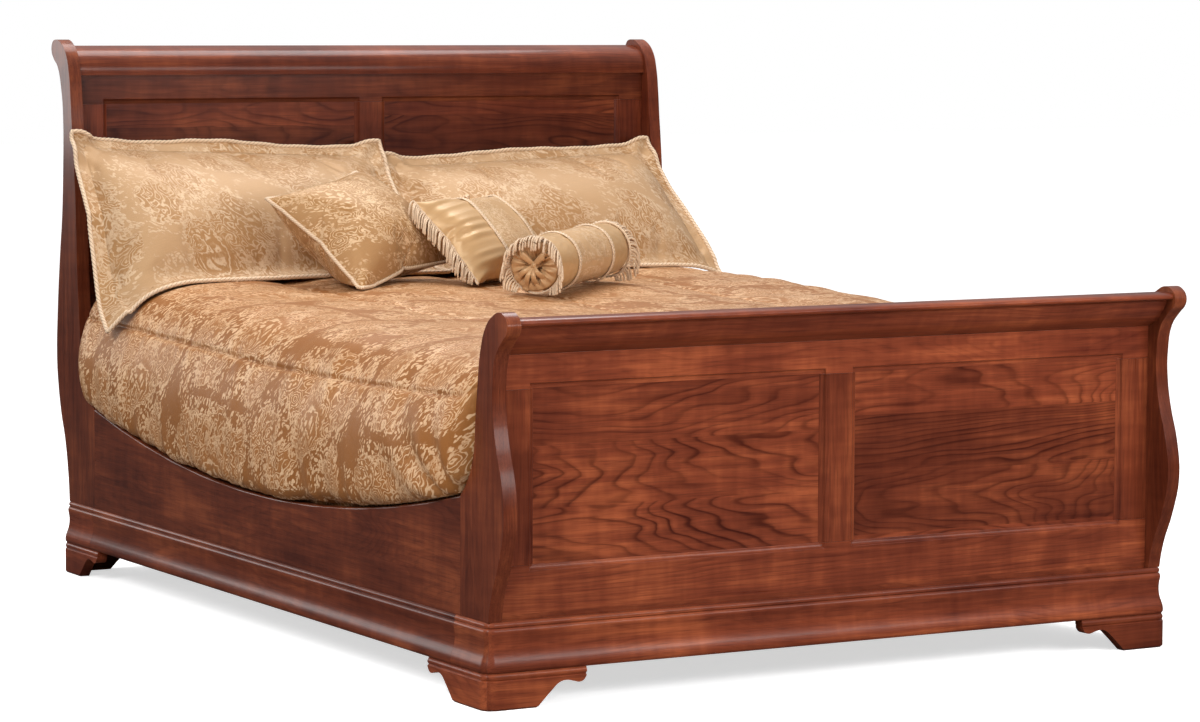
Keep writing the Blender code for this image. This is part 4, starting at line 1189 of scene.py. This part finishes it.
def build_bolster():
    """Neck roll: jacquard middle, satin ends, braid rings, fringe and gathered, tied end caps."""
    radius, length = 0.0665, 0.400
    cover = damask("damask_roll", *STRAW_AND_PAINTED_HIGHLIGHT, 0.20, 0.26, seed=12.0)
    shiny = satin("satin_roll", SATIN, 0.30, 2.0)
    gathered = satin("satin_gathered", (0.470, 0.265, 0.125), 0.38, 3.0)
    cord = cord_yarn("cord_roll", CORD, CORD_PAINTED_SHADE)
    axis = unit(np.array([0.808, 0.587, 0.040]))
    centre = np.array([0.100, 0.232, 0.7945])
    side = unit(np.cross(axis, (0.0, 0.0, 1.0)))
    rise = np.cross(side, axis)
    around, along, cap_rows = 120, 74, 22
    points, uvs = [], []
    stations = [("near", t) for t in np.linspace(0.0, 1.0, cap_rows, endpoint=False)]
    stations += [("wall", t) for t in np.linspace(0.0, 1.0, along)]
    stations += [("far", t) for t in np.linspace(1.0, 0.0, cap_rows + 1)[1:]]

    def radial(a):
        return side * cos(a) + rise * sin(a)

    def spot(s, a, r):
        return centre + axis * s + radial(a) * r

    for kind, t in stations:
        for k in range(around):
            a = 2 * pi * k / around
            lump = ripple(cos(a) * 1.6, sin(a) * 1.6, t * 4.0 + 2.0)
            if kind == "wall":
                s = (t - 0.5) * length
                r = radius * (1.0 + 0.035 * lump) - 0.006 * (abs(t - 0.5) * 2) ** 8
                r += 0.0012 * ripple(a * 5.0, s * 60.0, 3.0)
                r -= 0.004 * max(0.0, -sin(a)) ** 6
                uvs.append((a * radius, s))
            else:
                sign = -1.0 if kind == "near" else 1.0
                r = (radius - 0.004) * (0.09 + 0.91 * t) * (1.0 + 0.02 * lump)
                folds = sin(a * 17.0 + 2.0 * ripple(cos(a) * 3, sin(a) * 3, 1.0))
                deep = 0.016 * (1 - t) ** 1.6 - 0.010 * sin(pi * min(1.0, t))
                pleat = 0.0042 * folds * sin(pi * min(1.0, 0.10 + t * 0.92)) ** 0.7
                s = sign * (length / 2 - deep + pleat)
                r += 0.0015 * folds * (1 - t)
                uvs.append((a * radius, t * 0.06))
            points.append(spot(s, a, r))
    obj = grid_object("bolster_cover", points, uvs, tube_faces(len(stations), around, flip=True), cover)
    obj.data.materials.append(shiny)
    obj.data.materials.append(gathered)
    for face in obj.data.polygons:
        mid = np.mean([points[i] for i in face.vertices], axis=0)
        s = float(np.dot(mid - centre, axis))
        row = min(face.vertices) // around
        if row < cap_rows - 1 or row >= cap_rows + along - 1:
            face.material_index = 2
        elif abs(s) > 0.095:
            face.material_index = 1
    bm = bmesh.new()
    bm.from_mesh(obj.data)
    bmesh.ops.recalc_face_normals(bm, faces=bm.faces)
    bm.to_mesh(obj.data)
    bm.free()
    obj.data.shade_smooth()
    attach(obj, "bolster")
    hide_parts("bolster")
    full = np.linspace(0.0, 2 * pi, 181)
    for tag, s in (("near", -0.095), ("far", 0.095)):
        loop = [spot(s, a, radius + 0.0005) for a in full]
        gimp("bolster_braid_" + tag, loop, [radial(a) for a in full], 0.011, cord, "bolster")
    for tag, sign in (("near", -1.0), ("far", 1.0)):
        loop = [spot(sign * (length / 2 - 0.004), a, radius - 0.001) for a in full]
        rope("bolster_edge_" + tag, loop[:-1], 0.0030, 0.010, cord, body="bolster")
        # the fringe is sewn round the rim and bends out and down from it
        firsts = [axis * sign * 0.85 + radial(a) * 0.35 + np.array([0.0, 0.0, 0.10]) for a in full]
        fringe("bolster_fringe_" + tag, loop, firsts, 0.050, cord, "bolster", fall=1.15, step=0.0066,
               radius=0.0027, seed=21 + int(sign))
    for tag, sign in (("near", -1.0), ("far", 1.0)):
        build_tie(tag, centre + axis * sign * (length / 2 - 0.010), axis * sign, side, rise, gathered)


def build_tie(tag, centre, out, side, rise, material):
    """The knot that closes a gathered end, with two loops and four tails of the same cloth."""
    strips = []
    for turn, reach, loop in ((2.55, 0.044, True), (0.55, 0.040, True), (3.75, 0.060, False),
                              (4.30, 0.064, False), (4.85, 0.058, False), (5.45, 0.048, False)):
        way = side * cos(turn) + rise * sin(turn)
        line, widths = [], []
        for t in np.linspace(0.0, 1.0, 15):
            if loop:
                swing = sin(pi * t)
                here = centre + out * (0.014 + 0.014 * sin(2 * pi * t) * 0.6) + way * reach * swing
                here = here + rise * 0.006 * sin(2 * pi * t)
                widths.append(0.0060 + 0.0040 * swing)
            else:
                here = centre + out * (0.012 + 0.020 * sin(pi * min(1, t * 1.2)) * 0.8) + way * reach * t
                widths.append(0.0045 + 0.0045 * t)
            line.append(here)
        line = np.array(line)
        broad = unit(np.cross(unit(np.gradient(line, axis=0)), out))
        rows = [p + b * w * k + out * (0.0016 * (1 - k * k))
                for p, b, w in zip(line, broad, widths) for k in (-1.0, -0.5, 0.0, 0.5, 1.0)]
        strips.append((rows, sheet_faces(len(line), 5)))
    tie = join_meshes("bolster_tie_" + tag, strips, material)
    add_modifier(tie, "cloth_thickness", "SOLIDIFY", thickness=0.0012)
    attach(tie, "bolster")
    bm = bmesh.new()
    bmesh.ops.create_icosphere(bm, subdivisions=3, radius=0.0095)
    for vert in bm.verts:
        d = vert.co.normalized()
        crease = 1.0 + 0.12 * sin(d.x * 9.0 + d.z * 7.0) + 0.08 * noise.noise(d * 3.0)
        local = d * 0.0095 * crease
        vert.co = Vector(centre + out * (0.012 + local.z * 0.9) + side * local.x + rise * local.y)
    knot = bmesh_object("bolster_knot_" + tag, bm, material)
    knot.data.uv_layers.new(name="UVMap")
    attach(knot, "bolster")


def build_beds():
    """Foundation and mattress: rounded, with taped edges, under the comforter."""
    cloth = ticking()
    # its second colour is painted shade between the tape's strands
    tape = cord_yarn("edge_tape", (0.50, 0.40, 0.28), (0.30, 0.23, 0.15), 2)
    for node in ("foundation", "mattress"):
        low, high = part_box(node)
        low, high = Vector(low), Vector(high)
        bm = bmesh.new()
        bmesh.ops.create_cube(bm, size=1.0)
        bmesh.ops.scale(bm, vec=high - low - Vector((0.004, 0.004, 0.004)), verts=bm.verts)
        bmesh.ops.translate(bm, vec=(low + high) / 2, verts=bm.verts)
        upright = [e for e in bm.edges if abs(e.verts[0].co.z - e.verts[1].co.z) > 0.1]
        bmesh.ops.bevel(bm, geom=upright, offset=0.060, segments=6, profile=0.5, affect="EDGES")
        long = [e for e in bm.edges if e.calc_length() > 0.3]
        bmesh.ops.subdivide_edges(bm, edges=long, cuts=9, use_grid_fill=True)
        rims = [e for e in bm.edges if len(e.link_faces) == 2 and e.calc_face_angle(0.0) > 1.0]
        bmesh.ops.bevel(bm, geom=rims, offset=0.012, segments=3, profile=0.5, affect="EDGES")
        for vert in bm.verts:
            vert.co.y += 0.003 * noise.noise(vert.co * 5.0)
        obj = bmesh_object(node + "_cover", bm, cloth, sharp=40.0)
        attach(obj, ROOT)
        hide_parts(node)
        inset = 0.060
        mid = (low + high) / 2
        half = (high - low) / 2 - Vector((inset, inset, 0.0))
        for tag, z in (("top", high.z - 0.016), ("bottom", low.z + 0.016)):
            loop = []
            for cx, cy, start in ((1, 1, 0.0), (-1, 1, 90.0), (-1, -1, 180.0), (1, -1, 270.0)):
                for a in np.radians(np.linspace(start, start + 90.0, 7)):
                    loop.append((mid.x + cx * half.x + (inset - 0.003) * cos(a),
                                 mid.y + cy * half.y + (inset - 0.003) * sin(a), z))
            rope(node + "_tape_" + tag, loop, 0.0042, 0.030, tape, strands=2, sides=8)


setup_camera()
setup_stage()
build_wood()
build_support()
build_beds()
build_comforter()
build_shams()
build_square_cushion()
build_fringed_cushion()
build_bolster()
